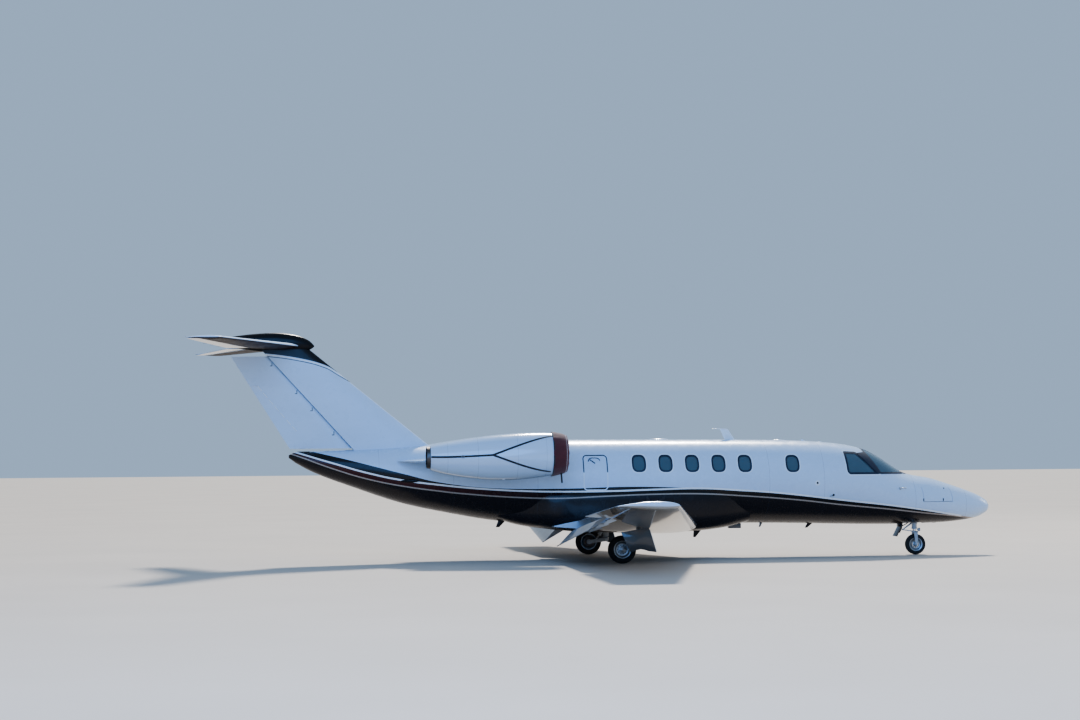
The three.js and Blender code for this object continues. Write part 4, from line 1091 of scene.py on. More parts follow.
class JET_OT_finishes(bpy.types.Operator):
    """Make every paint, metal, cloth, rubber and glass of the jet"""

    bl_idname = "jet.finishes"
    bl_label = "Finishes"

    def execute(self, context):
        colours = context.scene.jet_colours
        # The white's blue tint is painted shade; the wing, nacelle and tailplane paints carry it too
        white = tuple(colours.white)
        FINISHES.update(
            livery=livery(colours, context.scene.jet_sizes.line),
            fin=fin_paint(colours),
            # The tan tone on the wing's downward faces is a painted reflection of the sunlit ground, not
            # paint
            white=panelled_paint("wing_paint", white, 1, WING_SEAMS, (0.36, 0.34, 0.31)),
            nacelle=panelled_paint("nacelle_paint", white, 0, NACELLE_SEAMS),
            dark=plain_paint("dark_paint", tuple(colours.dark), coat=0.2),
            black=plain_paint("black_paint", (0.006, 0.006, 0.008), roughness=(0.25, 0.35), coat=0.08,
                              shine=0.25),
            leg_door=plain_paint("leg_door_paint", (0.07, 0.085, 0.105)),
            glass=tinted_glass("cabin_glass", tuple(colours.glass)),
            seal=plain("window_seal", (0.01, 0.022, 0.05), (0.4, 0.6)),
            lamp=tinted_glass("lamp_lens", (0.75, 0.8, 0.82)),
            # Whiter than the body paint; on the static ring, leg door edge, tab hinges and exit's lower
            # outline it is a painted highlight
            ring=plain_paint("window_ring", (0.8, 0.87, 0.95)),
            edge_metal=metal("polished_edge", (0.8, 0.82, 0.85), (0.12, 0.25)),
            alloy=metal("wheel_alloy", (0.4, 0.44, 0.48), (0.3, 0.5)),
            steel=metal("gear_steel", (0.5, 0.51, 0.53)),
            gear=plain("gear_paint", (0.5, 0.53, 0.56), (0.35, 0.5)),
            chrome=metal("chrome", (0.85, 0.86, 0.88), (0.04, 0.1)),
            burnt=metal("heated_steel", (0.16, 0.14, 0.13), (0.35, 0.55), 30),
            engine=metal("engine_metal", (0.42, 0.41, 0.4)),
            rubber=plain("tyre_rubber", (0.018, 0.018, 0.019), (0.7, 0.9), 50, 0.001),
            cloth=woven("cover_cloth", tuple(colours.cloth)),
            webbing=woven("cover_webbing", (0.02, 0.02, 0.024), 0.004),
            # The light cloth of the piping round the cover's lip is a painted highlight on the lip's edge
            piping=woven("cover_piping", (0.6, 0.5, 0.48), 0.004),
            # The flap's grey is painted shade: the white flap as it looks in shade, hanging under the wing
            flap=plain_paint("flap_paint", (0.3, 0.32, 0.34), roughness=(0.35, 0.5), coat=0.15, shine=0.3),
            tailplane=panelled_paint("tailplane_paint", white, 1, (1.2, 2.3), (0.03, 0.018, 0.016),
                                     roughness=(0.4, 0.55), coat=0.0, shine=0.12),
            trim=plain("seat_trim", (0.1, 0.085, 0.07), (0.4, 0.55)),
            wood=veneer("cabin_veneer"),
            screen=display("cockpit_screen"),
            belt=woven("belt_webbing", (0.05, 0.048, 0.045), 0.003),
            leather=plain("seat_leather", (0.48, 0.4, 0.3), (0.45, 0.6), 120, 0.0008),
            carpet=plain("floor_carpet", (0.16, 0.14, 0.12), (0.9, 1.0), 200, 0.003),
            liner=plain("cabin_liner", (0.55, 0.52, 0.47), (0.6, 0.8)),
            panel=plain("panel_black", (0.03, 0.032, 0.035), (0.5, 0.7)),
        )
        return {"FINISHED"}


class JET_OT_fuselage(bpy.types.Operator):
    """Make the hollow body shell, its doorways and window openings, and the hatch in its side"""

    bl_idname = "jet.fuselage"
    bl_label = "Fuselage"

    def execute(self, context):
        sizes = context.scene.jet_sizes
        outer = tube("outer", [oval(x) for x in stations(-6.2, 8.13)], sizes.around)
        inner = tube("inner", [oval(x, sizes.wall) for x in stations(-5.75, 7.7)], sizes.around)
        inner.data.flip_normals()
        skin = join("fuselage_skin", [outer, inner])
        cutters = [window_block(x, side) for x, side in cabin_window_places()]
        for side in (1, -1):
            cutters += [cockpit_block(WINDSHIELD, side), cockpit_block(SIDE_WINDOW, side)]
        cutters += [side_doorway(TAIL_DOOR, 1, RUN), doorway(RUN), exit_block(0.003)]
        cutters.append(slab("bay", rectangle(-0.15, 0.15, 0.3, 0.82), 6.24, 6.72, plane="yz"))
        cutters.append(side_doorway(NOSE_DOOR, 1, RUN))
        cut(skin, join("openings", cutters))
        cut(skin, side_doorway(NOSE_DOOR, -1, RUN))
        body_shading(skin)
        dress(skin, "livery", replaces=(
            "cabin_shell", "cockpit_shell", "tail_shell", "nose_section"))

        hatch = wall_piece("exit_hatch", (EXIT_HATCH["aft"] - 0.2, EXIT_HATCH["front"] + 0.2),
                           (0.0005, sizes.wall), exit_block(0))
        dress(hatch, "livery", replaces=("emergency_exit",))
        return {"FINISHED"}


class JET_OT_doors(bpy.types.Operator):
    """Make the entry door, the two nose hatches and the tail hatch"""

    bl_idname = "jet.doors"
    bl_label = "Doors"

    def execute(self, context):
        wall = context.scene.jet_sizes.wall
        door = wall_piece("entry_door_panel", (3.4, 4.3), (0, wall), doorway(0))
        dress(door, "livery", "entry_door", ("entry_door",))
        for name, spec, side in (
            ("nose_door_port", NOSE_DOOR, 1), ("nose_door_starboard", NOSE_DOOR, -1),
            ("tail_door_port", TAIL_DOOR, 1),
        ):
            panel = wall_piece(name + "_panel", (spec["aft"] - 0.2, spec["front"] + 0.2), (0, 0.03),
                               side_doorway(spec, side, 0))
            dress(panel, "livery", name, (name,))
        return {"FINISHED"}


class JET_OT_windows(bpy.types.Operator):
    """Make the cabin and cockpit panes and the seals round them"""

    bl_idname = "jet.windows"
    bl_label = "Windows"

    def execute(self, context):
        for side, word in ((1, "port"), (-1, "starboard")):
            places = [x for x, s in cabin_window_places() if s == side]

            def blocks(grow):
                return join("blocks", [window_block(x, side, grow) for x in places])

            panes = wall_piece("cabin_panes_" + word, (0.3, 4.2), (0.006, 0.016), blocks(-0.001))
            dress(panes, "glass", replaces=("cabin_windows_" + word,))
            seals = wall_piece("cabin_window_seals_" + word, (0.3, 4.2), (-0.002, 0.03), blocks(0.007),
                               blocks(-0.026))
            dress(seals, "seal")
            rings = skin_plate("cabin_window_rings_" + word, blocks(0.028),
                               (places[0] - 0.2, places[-1] + 0.2), 0.003, blocks(0.0075))
            dress(rings, "ring")
            for part, outline in (("windshield", WINDSHIELD), ("side_window", SIDE_WINDOW)):
                pane = wall_piece(f"{part}_{word}_pane", (4.8, 6.6), (0.006, 0.02),
                                  cockpit_block(outline, side, -0.001))
                dress(pane, "glass", replaces=(f"{part}_{word}",))
                seal = wall_piece(f"{part}_{word}_seal", (4.8, 6.7), (-0.002, 0.03),
                                  cockpit_block(outline, side, 0.014), cockpit_block(outline, side, -0.028))
                dress(seal, "seal")
            ring = skin_plate(f"side_window_ring_{word}", cockpit_block(SIDE_WINDOW, side, 0.036),
                              (4.8, 5.7), 0.003, cockpit_block(SIDE_WINDOW, side, 0.0145))
            dress(ring, "ring")
            post = skin_plate(f"cockpit_post_{word}", slab("post", COCKPIT_POST, side * 0.05, side * 1.0),
                              (5.2, 5.7), 0.007, cockpit_block(SIDE_WINDOW, side))
            cut(post, cockpit_block(WINDSHIELD, side))
            dress(body_shading(post), "seal")
        return {"FINISHED"}


class JET_OT_belly(bpy.types.Operator):
    """Make the belly fairing under the wing"""

    bl_idname = "jet.belly"
    bl_label = "Belly fairing"

    def execute(self, context):
        rings = []
        for x in steps(FAIRING[0][0], FAIRING[-1][0], 60):
            low, half = between(FAIRING, x, 1), between(FAIRING, x, 2)
            ring = []
            for angle in steps(0, 2 * math.pi, 73)[:-1]:
                s, c = math.sin(angle), math.cos(angle)
                power = FAIRING_ROUND[0] if c > 0 else FAIRING_ROUND[1]
                reach = FAIRING_RISE if c > 0 else FAIRING_MIDDLE - low
                ring.append(Vector((
                    x, half * math.copysign(abs(s) ** power, s),
                    FAIRING_MIDDLE + reach * math.copysign(abs(c) ** power, c))))
            rings.append(ring)
        fairing = loft("belly_fairing_skin", rings)
        inside = [oval(x, 0.012) for x in steps(FAIRING[0][0] - 0.1, FAIRING[-1][0] + 0.1, 50)]
        smooth(cut(fairing, tube("inside", inside, BODY_POINTS)), 60)
        dress(fairing, "livery", replaces=("belly_fairing",))
        return {"FINISHED"}


class JET_OT_wings(bpy.types.Operator):
    """Make both wings, their flaps and their ailerons"""

    bl_idname = "jet.wings"
    bl_label = "Wings"

    def execute(self, context):
        count = context.scene.jet_sizes.chordwise
        flap_tail = [
            (FLAP["shroud"], 1, 0.007), (FLAP["lip"] + 0.03, 1, 0.02), (FLAP["lip"], 1, 0.029),
            (FLAP["lip"], 1, 0.05), (FLAP["lip"], -1, -0.03), (FLAP["lip"], -1, -0.006)]

        def plain_ring(y):
            return foil_ring(wing_at(y), count)

        def flap_ring(y):
            return foil_ring(wing_at(y), count, FLAP["shroud"], FLAP["lip"], flap_tail)

        def aileron_ring(y):
            section = wing_at(y)
            share, tail = hinge_tail(section, AILERON["hinge"])
            return foil_ring(section, count, share, share, tail)

        rings = [plain_ring(y) for y in (WING["inner_y"], WING["root_y"], FLAP["inner"])]
        rings += [flap_ring(y) for y in steps(FLAP["inner"], FLAP["outer"], 6)]
        rings += [plain_ring(y) for y in (FLAP["outer"], AILERON["inner"])]
        rings += [aileron_ring(y) for y in steps(AILERON["inner"], AILERON["outer"], 4)]
        rings.append(plain_ring(AILERON["outer"]))
        tip = WING["tip_y"]
        for inside, share in ((0.06, 1), (0.03, 0.93), (0.012, 0.72), (0.003, 0.42), (0, 0.16)):
            section = wing_at(tip - inside)
            section["thick"] *= share
            rings.append(foil_ring(section, count))
        wing = smooth(loft("wing_skin_port", rings), 35)
        both_sides(wing, "white", replaces=("wing_port",))

        flap = smooth(loft("flap_skin_port", [flap_section(y) for y in (
            FLAP["inner"] + RUN, FLAP["outer"] - RUN)]), 35)
        swing(flap, *flap_hinge(), -FLAP["down"])
        both_sides(flap, "flap", "flap_port", ("flap_port",))

        ends = (AILERON["inner"] + RUN, AILERON["outer"] - RUN)
        aileron = smooth(loft("aileron_skin_port", [
            hinged_ring(wing_at(y), AILERON["hinge"]) for y in ends]), 35)
        both_sides(aileron, "white", "aileron_port", ("aileron_port",))
        return {"FINISHED"}


def flap_hinge():
    """A point and the direction of the port flap's hinge line."""
    spots = []
    for y in (FLAP["inner"] + RUN, FLAP["outer"] - RUN):
        spot = foil_point(wing_at(y), FLAP["lip"] + 0.03, -1)
        spot.z -= FLAP["drop"]
        spots.append(spot)
    return spots[0], (spots[1] - spots[0]).normalized()


def flap_section(y):
    """The stowed flap's section."""
    section = wing_at(y)
    nose = FLAP["lip"] + 0.012
    low = [foil_point(section, f, -1) for f in steps(nose + 0.02, 1, 12)]
    high = []
    for f in steps(nose + 0.02, 1, 12):
        point = foil_point(section, f, 1)
        lift = max(0.0, FLAP["shroud"] + 0.02 - f) * 0.34 * section["chord"]
        if f < 1:
            point.z -= FLAP["slip"] + lift
        high.append(point)
    front = []
    first, last = high[0], low[0]
    for t in steps(0, 1, 7)[1:-1]:
        point = first * (1 - t) + last * t
        point.x += math.sin(math.pi * t) * 0.02 * section["chord"]
        front.append(point)
    return [*reversed(high), *front, *low]


class JET_OT_tail(bpy.types.Operator):
    """Make the fin, the rudder, the tailplane, its elevators and the bullet on top"""

    bl_idname = "jet.tail"
    bl_label = "Fin and tailplane"

    def execute(self, context):
        count = context.scene.jet_sizes.chordwise
        rings = []
        for z in steps(2.1, FIN["top_z"] + 0.04, 9):
            section = fin_at(z)
            share, tail = hinge_tail(section, section["hinge"], 0.014)
            rings.append(upright(foil_ring(section, count, share, share, tail), z))
        fin = smooth(loft("fin_skin", rings), 35)
        dress(fin, "fin", replaces=("fin",))

        stretch = math.hypot(FIN["top_hinge"] - FIN["base_hinge"], FIN["top_z"] - FIN["base_z"]) / (
            FIN["top_z"] - FIN["base_z"])
        rings = [upright(hinged_ring(fin_at(z), fin_at(z)["hinge"], 14, stretch), z)
                 for z in steps(*RUDDER, 9)]
        rudder = smooth(loft("rudder_skin", rings), 35)
        dress(rudder, "fin", "rudder", ("rudder",))

        def level(y):
            return foil_ring(stabiliser_at(y), count)

        def cut_level(y):
            section = stabiliser_at(y)
            share, tail = hinge_tail(section, ELEVATOR["hinge"])
            return foil_ring(section, count, share, share, tail)

        half = [level(y) for y in (0.0, ELEVATOR["inner"])]
        half += [cut_level(y) for y in steps(ELEVATOR["inner"], ELEVATOR["outer"], 5)]
        half.append(level(ELEVATOR["outer"]))
        tip = STABILISER["tip_y"]
        for inside, share in ((0.05, 1), (0.02, 0.85), (0.006, 0.5), (0, 0.15)):
            section = stabiliser_at(tip - inside)
            section["thick"] *= share
            half.append(foil_ring(section, count))
        other = [[Vector((p.x, -p.y, p.z)) for p in ring] for ring in reversed(half[1:])]
        stabiliser = smooth(loft("tailplane_skin", other + half), 35)
        dress(stabiliser, "tailplane", replaces=("stabiliser",))

        elevator = loft("elevator_skin_port", [
            hinged_ring(stabiliser_at(y), ELEVATOR["hinge"]) for y in elevator_ends()])
        both_sides(smooth(drooped(elevator), 35), "white", "elevator_port",
                   ("elevator_port",))

        rings = []
        for x in steps(BULLET[0][0], BULLET[-1][0], 40):
            r = max(0.008, between(BULLET, x, 2))
            rings.append((x, 0.0, between(BULLET, x, 1), 0.78 * r, 1.2 * r))
        bullet = smooth(tube("bullet_skin", rings, 48), 50)
        dress(bullet, "black", replaces=("tail_bullet",))
        return {"FINISHED"}


def engine_ring(table, x, inset=0.0):
    """A round section of the port nacelle or duct at a station."""
    r = between(table, x, 2) - inset
    return (x, NACELLE_Y, between(table, x, 1), r, r)


class JET_OT_engines(bpy.types.Operator):
    """Make the nacelles, exhaust nozzles and pylons"""

    bl_idname = "jet.engines"
    bl_label = "Engines"

    def execute(self, context):
        outer = [engine_ring(NACELLE, x) for x in steps(-3.52, -0.885, 56)]
        inner = [engine_ring(DUCT, x) for x in steps(-0.885, -3.515, 44)]
        nacelle = smooth(tube("nacelle_skin_port", outer + inner, 72, closed=True), 50)
        both_sides(nacelle, "nacelle", replaces=("nacelle_port",))

        rim = 0.014
        lined = [engine_ring(DUCT, x, 0.001) for x in steps(-3.34, -3.59, 10)]
        back = [(x, y, z, w - rim, h - rim) for x, y, z, w, h in reversed(lined)]
        nozzle = smooth(tube("nozzle_port", lined + back, 72, closed=True), 40)
        both_sides(nozzle, "burnt", replaces=("exhaust_nozzle_port",))

        rings = []
        for y in steps(0.45, NACELLE_Y - 0.3, 6):
            s = (y - 0.5) / (NACELLE_Y - 0.8)
            x = PYLON["root_front"] + (PYLON["tip_front"] - PYLON["root_front"]) * s
            te = PYLON["root_aft"] + (PYLON["tip_aft"] - PYLON["root_aft"]) * s
            rings.append(foil_ring({"y": y, "x": x, "z": PYLON["z"], "chord": x - te,
                                    "thick": PYLON["thick"] / (x - te), "camber": 0.0}, 22))
        pylon = smooth(loft("pylon_skin_port", rings), 35)
        both_sides(pylon, "nacelle", replaces=("pylon_port",))
        return {"FINISHED"}


def cover_cloth(name):
    """The starboard cover's cloth: a gathered skirt over the lip and a front that sags into the duct."""
    skirt = [(x, between(NACELLE, x, 2) + 0.003) for x in steps(COVER_HEM, -0.9, 14)]
    rings = []
    for x, r in skirt + COVER_FRONT:
        gather = min(1.0, max(0.0, (-0.93 - x) / 0.2))
        sag = max(0.0, 1 - r / 0.33)
        ring = []
        for angle in steps(0, 2 * math.pi, 97)[:-1]:
            wave = sum(size * math.sin(n * angle + lag) for n, lag, size in COVER_FOLDS)
            reach = r + 0.0032 * gather * (wave + 1.9)
            front = 0.0 if x < -0.9 else 0.0035 * wave * min(1.0, r / 0.25)
            ring.append(Vector((x + front - 0.03 * sag, -NACELLE_Y - reach * math.cos(angle),
                                between(NACELLE, x, 1) + reach * math.sin(angle))))
        rings.append(ring)
    cloth = loft(name, rings, caps=(False, True))
    area = sum(face.area for face in cloth.data.polygons)
    pick(cloth)
    modifier = cloth.modifiers.new("thick", "SOLIDIFY")
    modifier.thickness, modifier.offset = 0.0025, 1.0
    bpy.ops.object.modifier_apply(modifier=modifier.name)
    return smooth(cloth, 60), area


def round_band(name, x, out, width, thick):
    """A band round the starboard nacelle."""
    rings = []
    for along, rise in ((-0.5, 0), (-0.42, 1), (0.42, 1), (0.5, 0)):
        at = x + along * width
        r = between(NACELLE, at, 2) + out + rise * thick
        rings.append((at, -NACELLE_Y, between(NACELLE, at, 1), r, r))
    return smooth(tube(name, rings, 96, closed=True), 50)


def nacelle_strap(name, start, end, width=0.038, thick=0.003):
    spots = [nacelle_spot(start[0] + (end[0] - start[0]) * t, start[1] + (end[1] - start[1]) * t, 0.0015)
             for t in steps(0, 1, 28)]
    return strap(name, [spot for spot, _ in spots], [way for _, way in spots], width, thick)


class JET_OT_covers(bpy.types.Operator):
    """Make the cloth covers over the inlets, with their hems, straps and buckles"""

    bl_idname = "jet.covers"
    bl_label = "Inlet covers"

    def execute(self, context):
        cloth, area = cover_cloth("inlet_cover_cloth_starboard")
        trims = [
            (round_band("cover_hem_starboard", COVER_HEM + 0.012, 0.0095, 0.03, 0.003), "webbing"),
            # Light piping round the lip: a painted highlight on the cover's edge
            (round_band("cover_piping_starboard", -0.9, 0.004, 0.009, 0.005), "piping"),
            (nacelle_strap("cover_strap_upper_starboard", STRAP_TOP, STRAP_JOIN), "webbing"),
            (nacelle_strap("cover_strap_lower_starboard", STRAP_LOW, STRAP_JOIN), "webbing"),
            (nacelle_strap("cover_strap_aft_starboard", (STRAP_JOIN[0] + 0.03, STRAP_JOIN[1]), STRAP_END),
             "webbing"),
        ]
        end, way = nacelle_spot(*STRAP_END, 0.004)
        hook = pipe("cover_hook_starboard", [
            end + Vector((0.03, 0, 0)), end + Vector((-0.012, 0, 0)),
            end + Vector((-0.018, 0, 0)) - way * 0.014, end - way * 0.034 + Vector((-0.006, 0, 0))], 0.004)
        frame_pieces = []
        for along in (-0.024, 0.0, 0.024):
            spot, way = nacelle_spot(BUCKLE[0] + along, BUCKLE[1], 0.007)
            side = Vector((1, 0, 0)).cross(way).normalized() * 0.026
            frame_pieces.append(bar("buckle_bar", spot - side, spot + side, 0.0035, sides=16, soft=0.001))
        for edge in (-0.026, 0.026):
            ends = []
            for along in (-0.026, 0.026):
                spot, way = nacelle_spot(BUCKLE[0] + along, BUCKLE[1], 0.007)
                ends.append(spot + Vector((1, 0, 0)).cross(way).normalized() * edge)
            frame_pieces.append(bar("buckle_side", *ends, 0.0035, sides=16, soft=0.001))
        low, _ = nacelle_spot(-0.99, -66, 0.004)
        tail = [low + Vector((0.0, 0, 0.012)), low, low + Vector((0.002, 0, -0.06)),
                low + Vector((0.008, 0, -0.13)), low + Vector((0.012, 0, -0.2))]
        loose = strap("cover_strap_end_starboard", tail, [Vector((0, -1, 0))] * 5, 0.034, 0.003)
        trims += [(hook, "steel"), (loose, "webbing"),
                  (smooth(join("cover_buckle_starboard", frame_pieces)), "steel")]
        pieces = [dress(piece, finish) for piece, finish in trims]
        dress(cloth, "cloth", replaces=("inlet_cover_starboard",))
        twins = [dress(mirrored(piece, across(piece.name)), finish)
                 for piece, finish in trims]
        twin = mirrored(cloth, "inlet_cover_cloth_port")
        dress(twin, "cloth", replaces=("inlet_cover_port",))
        return {"FINISHED"}


def tyre(name, wheel):
    """A tyre with a rounded sidewall and four grooves round its tread."""
    h, r, rim = wheel["half"], wheel["r"], wheel["rim"]
    deep = r - rim
    side = [(0.8, rim - 0.003), (0.9, rim + 0.1 * deep), (0.98, rim + 0.32 * deep), (1.0, rim + 0.5 * deep),
            (0.975, rim + 0.68 * deep), (0.9, rim + 0.83 * deep), (0.79, rim + 0.93 * deep)]
    half = [(a * h, b) for a, b in side]
    for groove in (0.5, 0.17):
        top = r - 0.003 * groove
        half += [(h * (groove + 0.05), top), (h * (groove + 0.03), top - 0.007),
                 (h * (groove - 0.03), top - 0.007), (h * (groove - 0.05), top)]
    outer = half + [(-a, b) for a, b in reversed(half)]
    return turned(name, "y", (wheel["x"], wheel["y"], wheel["z"]), outer, 96)


def wheel(name, spec, twin_faced=False):
    """A forged wheel: flanged rim, dished web with holes, bolts, and a domed hub cap."""
    h, rim, hub = spec["half"], spec["rim"], spec["hub"]
    face = [(0.8, 0.0), (0.79, hub * 0.4), (0.74, hub * 0.68), (0.6, hub * 0.74), (0.58, hub * 0.98),
            (0.4, hub * 1.04), (0.34, hub * 1.3), (0.3, rim - 0.05), (0.36, rim - 0.034), (0.6, rim - 0.02),
            (0.8, rim - 0.014), (0.86, rim - 0.008), (0.9, rim + 0.004), (0.92, rim + 0.011),
            (0.86, rim + 0.014), (0.83, rim + 0.006), (0.8, rim - 0.002)]
    if twin_faced:
        back = [(-a, r) for a, r in reversed(face)]
    else:
        back = [(-0.8, rim - 0.002), (-0.83, rim + 0.006), (-0.86, rim + 0.014), (-0.92, rim + 0.011),
                (-0.92, rim - 0.008), (0.02, rim - 0.016), (0.12, rim - 0.034), (0.14, hub * 1.3),
                (0.0, hub * 1.05), (-0.55, hub), (-0.56, 0.0)]
    piece = turned(name, "y", (0, 0, 0), [(a * h, r) for a, r in face + back])
    count = 10
    ring = (rim - 0.05 + hub * 1.3) / 2
    holes, bolts = [], []
    for i in range(count):
        c, s = math.cos(2 * math.pi * i / count), math.sin(2 * math.pi * i / count)
        holes.append(bar("hole", (ring * c, -h, ring * s), (ring * c, h, ring * s), 0.0105, sides=20))
        c, s = math.cos(2 * math.pi * (i + 0.5) / count), math.sin(2 * math.pi * (i + 0.5) / count)
        for way in (1, -1) if twin_faced else (1,):
            bolts.append(bar("bolt", (ring * c, way * h * 0.3, ring * s),
                             (ring * c, way * h * 0.47, ring * s), 0.0065, sides=6, soft=0.001))
    cut(piece, join("holes", holes))
    piece = join(name, [smooth(piece, 32), *bolts])
    piece.data.transform(Matrix.Translation((spec["x"], spec["y"], spec["z"])))
    return piece


class JET_OT_wheels(bpy.types.Operator):
    """Make the grooved tyres, the forged wheels and the main brakes"""

    bl_idname = "jet.wheels"
    bl_label = "Wheels and tyres"

    def execute(self, context):
        both_sides(tyre("main_port_tread", MAIN_WHEEL), "rubber",
                   "main_wheel_port", ("main_port_tyre",))
        both_sides(wheel("main_port_forging", MAIN_WHEEL), "alloy",
                   "main_wheel_port", ("main_port_wheel",))
        dress(tyre("nose_tread", NOSE_WHEEL), "rubber", "nose_wheel", ("nose_tyre",))
        dress(wheel("nose_forging", NOSE_WHEEL, True), "alloy", "nose_wheel",
              ("nose_wheel",))
        stack = [(-0.07, 0.052), (-0.07, 0.104)]
        for i in range(4):
            at = -0.066 + 0.0125 * i
            stack += [(at, 0.117), (at + 0.008, 0.117), (at + 0.009, 0.107), (at + 0.0115, 0.107)]
        stack += [(-0.014, 0.1), (-0.014, 0.052)]
        centre = (MAIN_WHEEL["x"], MAIN_WHEEL["y"], MAIN_WHEEL["z"])
        parts = [turned("disc_pack", "y", centre, stack)]
        for i in range(5):
            a = math.radians(40 + 70 * i)
            x, z = centre[0] + 0.086 * math.cos(a), centre[2] + 0.086 * math.sin(a)
            parts.append(bar("piston", (x, centre[1] - 0.09, z), (x, centre[1] - 0.066, z), 0.017,
                             soft=0.003))
        both_sides(smooth(join("brake_port", parts), 40), "burnt")
        return {"FINISHED"}


class JET_OT_main_gear(bpy.types.Operator):
    """Make the main legs with their trailing arms, dampers, brake pipes and doors"""

    bl_idname = "jet.main_gear"
    bl_label = "Main gear"

    def execute(self, context):
        x, y, z = LEG["x"], LEG["y"], LEG["arm_z"]
        wheel_x, wheel_z = MAIN_WHEEL["x"], MAIN_WHEEL["z"]
        (top_x, top_z), (foot_x, foot_z) = DAMPER
        middle = ((top_x + foot_x) / 2 - 0.02, y, (top_z + foot_z) / 2 - 0.03)
        casting = [
            turned("leg", "z", (x, y, 0), [
                (0.33, 0.0), (0.33, 0.044), (0.345, 0.055), (0.4, 0.056), (0.404, 0.064), (0.43, 0.064),
                (0.434, 0.057), (0.545, 0.057), (0.552, 0.066), (0.588, 0.066), (0.595, 0.058),
                (LEG["top"], 0.06), (LEG["top"], 0.0)]),
            pin("pivot", x, y, z, 0.066, 0.048, 0.006),
            pin("pivot_bolt", x, y, z, 0.082, 0.021, 0.003, 6),
            bar("arm", (x, y, z), (wheel_x, y, wheel_z), 0.044, 0.037, soft=0.006),
            bar("arm_end", (wheel_x, y - 0.048, wheel_z), (wheel_x, y + 0.04, wheel_z), 0.05, soft=0.006),
            bar("axle", (wheel_x, y - 0.06, wheel_z), (wheel_x, y + 0.13, wheel_z), 0.028, soft=0.003),
            bar("damper_body", (top_x, y, top_z), middle, 0.034, soft=0.005),
            bar("damper_collar", (middle[0] + 0.016, y, middle[2] + 0.021), middle, 0.039, soft=0.003),
            pin("damper_lug", top_x, y, top_z, 0.04, 0.03, 0.004),
            pin("foot_lug", foot_x, y, foot_z, 0.034, 0.026, 0.004),
        ]
        for height in (0.33, 0.56):
            casting.append(bar("door_stay", (x, y, height), (x, LEG_DOOR_Y[0] + 0.004, height), 0.014,
                               soft=0.002))
            casting.append(bar("stay_foot", (x, LEG_DOOR_Y[0] - 0.014, height),
                               (x, LEG_DOOR_Y[0] + 0.001, height), 0.03, 0.034, soft=0.003))
        both_sides(smooth(join("main_leg_port_casting", casting), 40), "gear",
                   replaces=("main_leg_port",))
        both_sides(smooth(bar("damper_rod_port", middle, (foot_x, y, foot_z), 0.02)), "chrome")
        lines = [pipe("brake_pipe_port", [
            (x + 0.02, y - 0.02, 0.78), (x + 0.062, y - 0.03, 0.66), (x + 0.066, y - 0.03, 0.5),
            (x + 0.06, y - 0.04, 0.38), (x + 0.01, y - 0.07, 0.36), (x - 0.1, y - 0.056, 0.36),
            (x - 0.22, y - 0.05, 0.345), (wheel_x + 0.06, y - 0.02, 0.35), (wheel_x + 0.04, y + 0.04, 0.345)],
            0.006)]
        for height in (0.46, 0.62):
            lines.append(box("clip", (x + 0.05, y - 0.045, height), (x + 0.074, y - 0.015, height + 0.012),
                             0.002))
        both_sides(smooth(join("brake_pipe_port", lines), 40), "seal")

        door = slab("leg_door_port_panel", LEG_DOOR, *LEG_DOOR_Y)
        pick(door)
        bpy.ops.object.mode_set(mode="EDIT")
        bpy.ops.mesh.select_mode(type="FACE")
        bpy.ops.mesh.select_all(action="DESELECT")
        work = bmesh.from_edit_mesh(door.data)
        work.faces.ensure_lookup_table()
        for face in work.faces:
            face.select_set(face.normal.y < -0.9)
        bmesh.update_edit_mesh(door.data)
        bpy.ops.mesh.inset(thickness=0.028)
        bpy.ops.transform.translate(value=(0, 0.012, 0))
        bpy.ops.object.mode_set(mode="OBJECT")
        both_sides(smooth(bevel(door, 0.0025), 30), "leg_door",
                   replaces=("leg_door_port",))
        # A light strip along the leg door's front edge: a painted highlight
        edge = (LEG_DOOR_Y[0] + LEG_DOOR_Y[1]) / 2
        strip = bar("leg_door_edge_port", (0.604, edge, 0.65), (0.731, edge, 0.224), 0.008, soft=0.002)
        both_sides(smooth(strip), "ring")
        return {"FINISHED"}


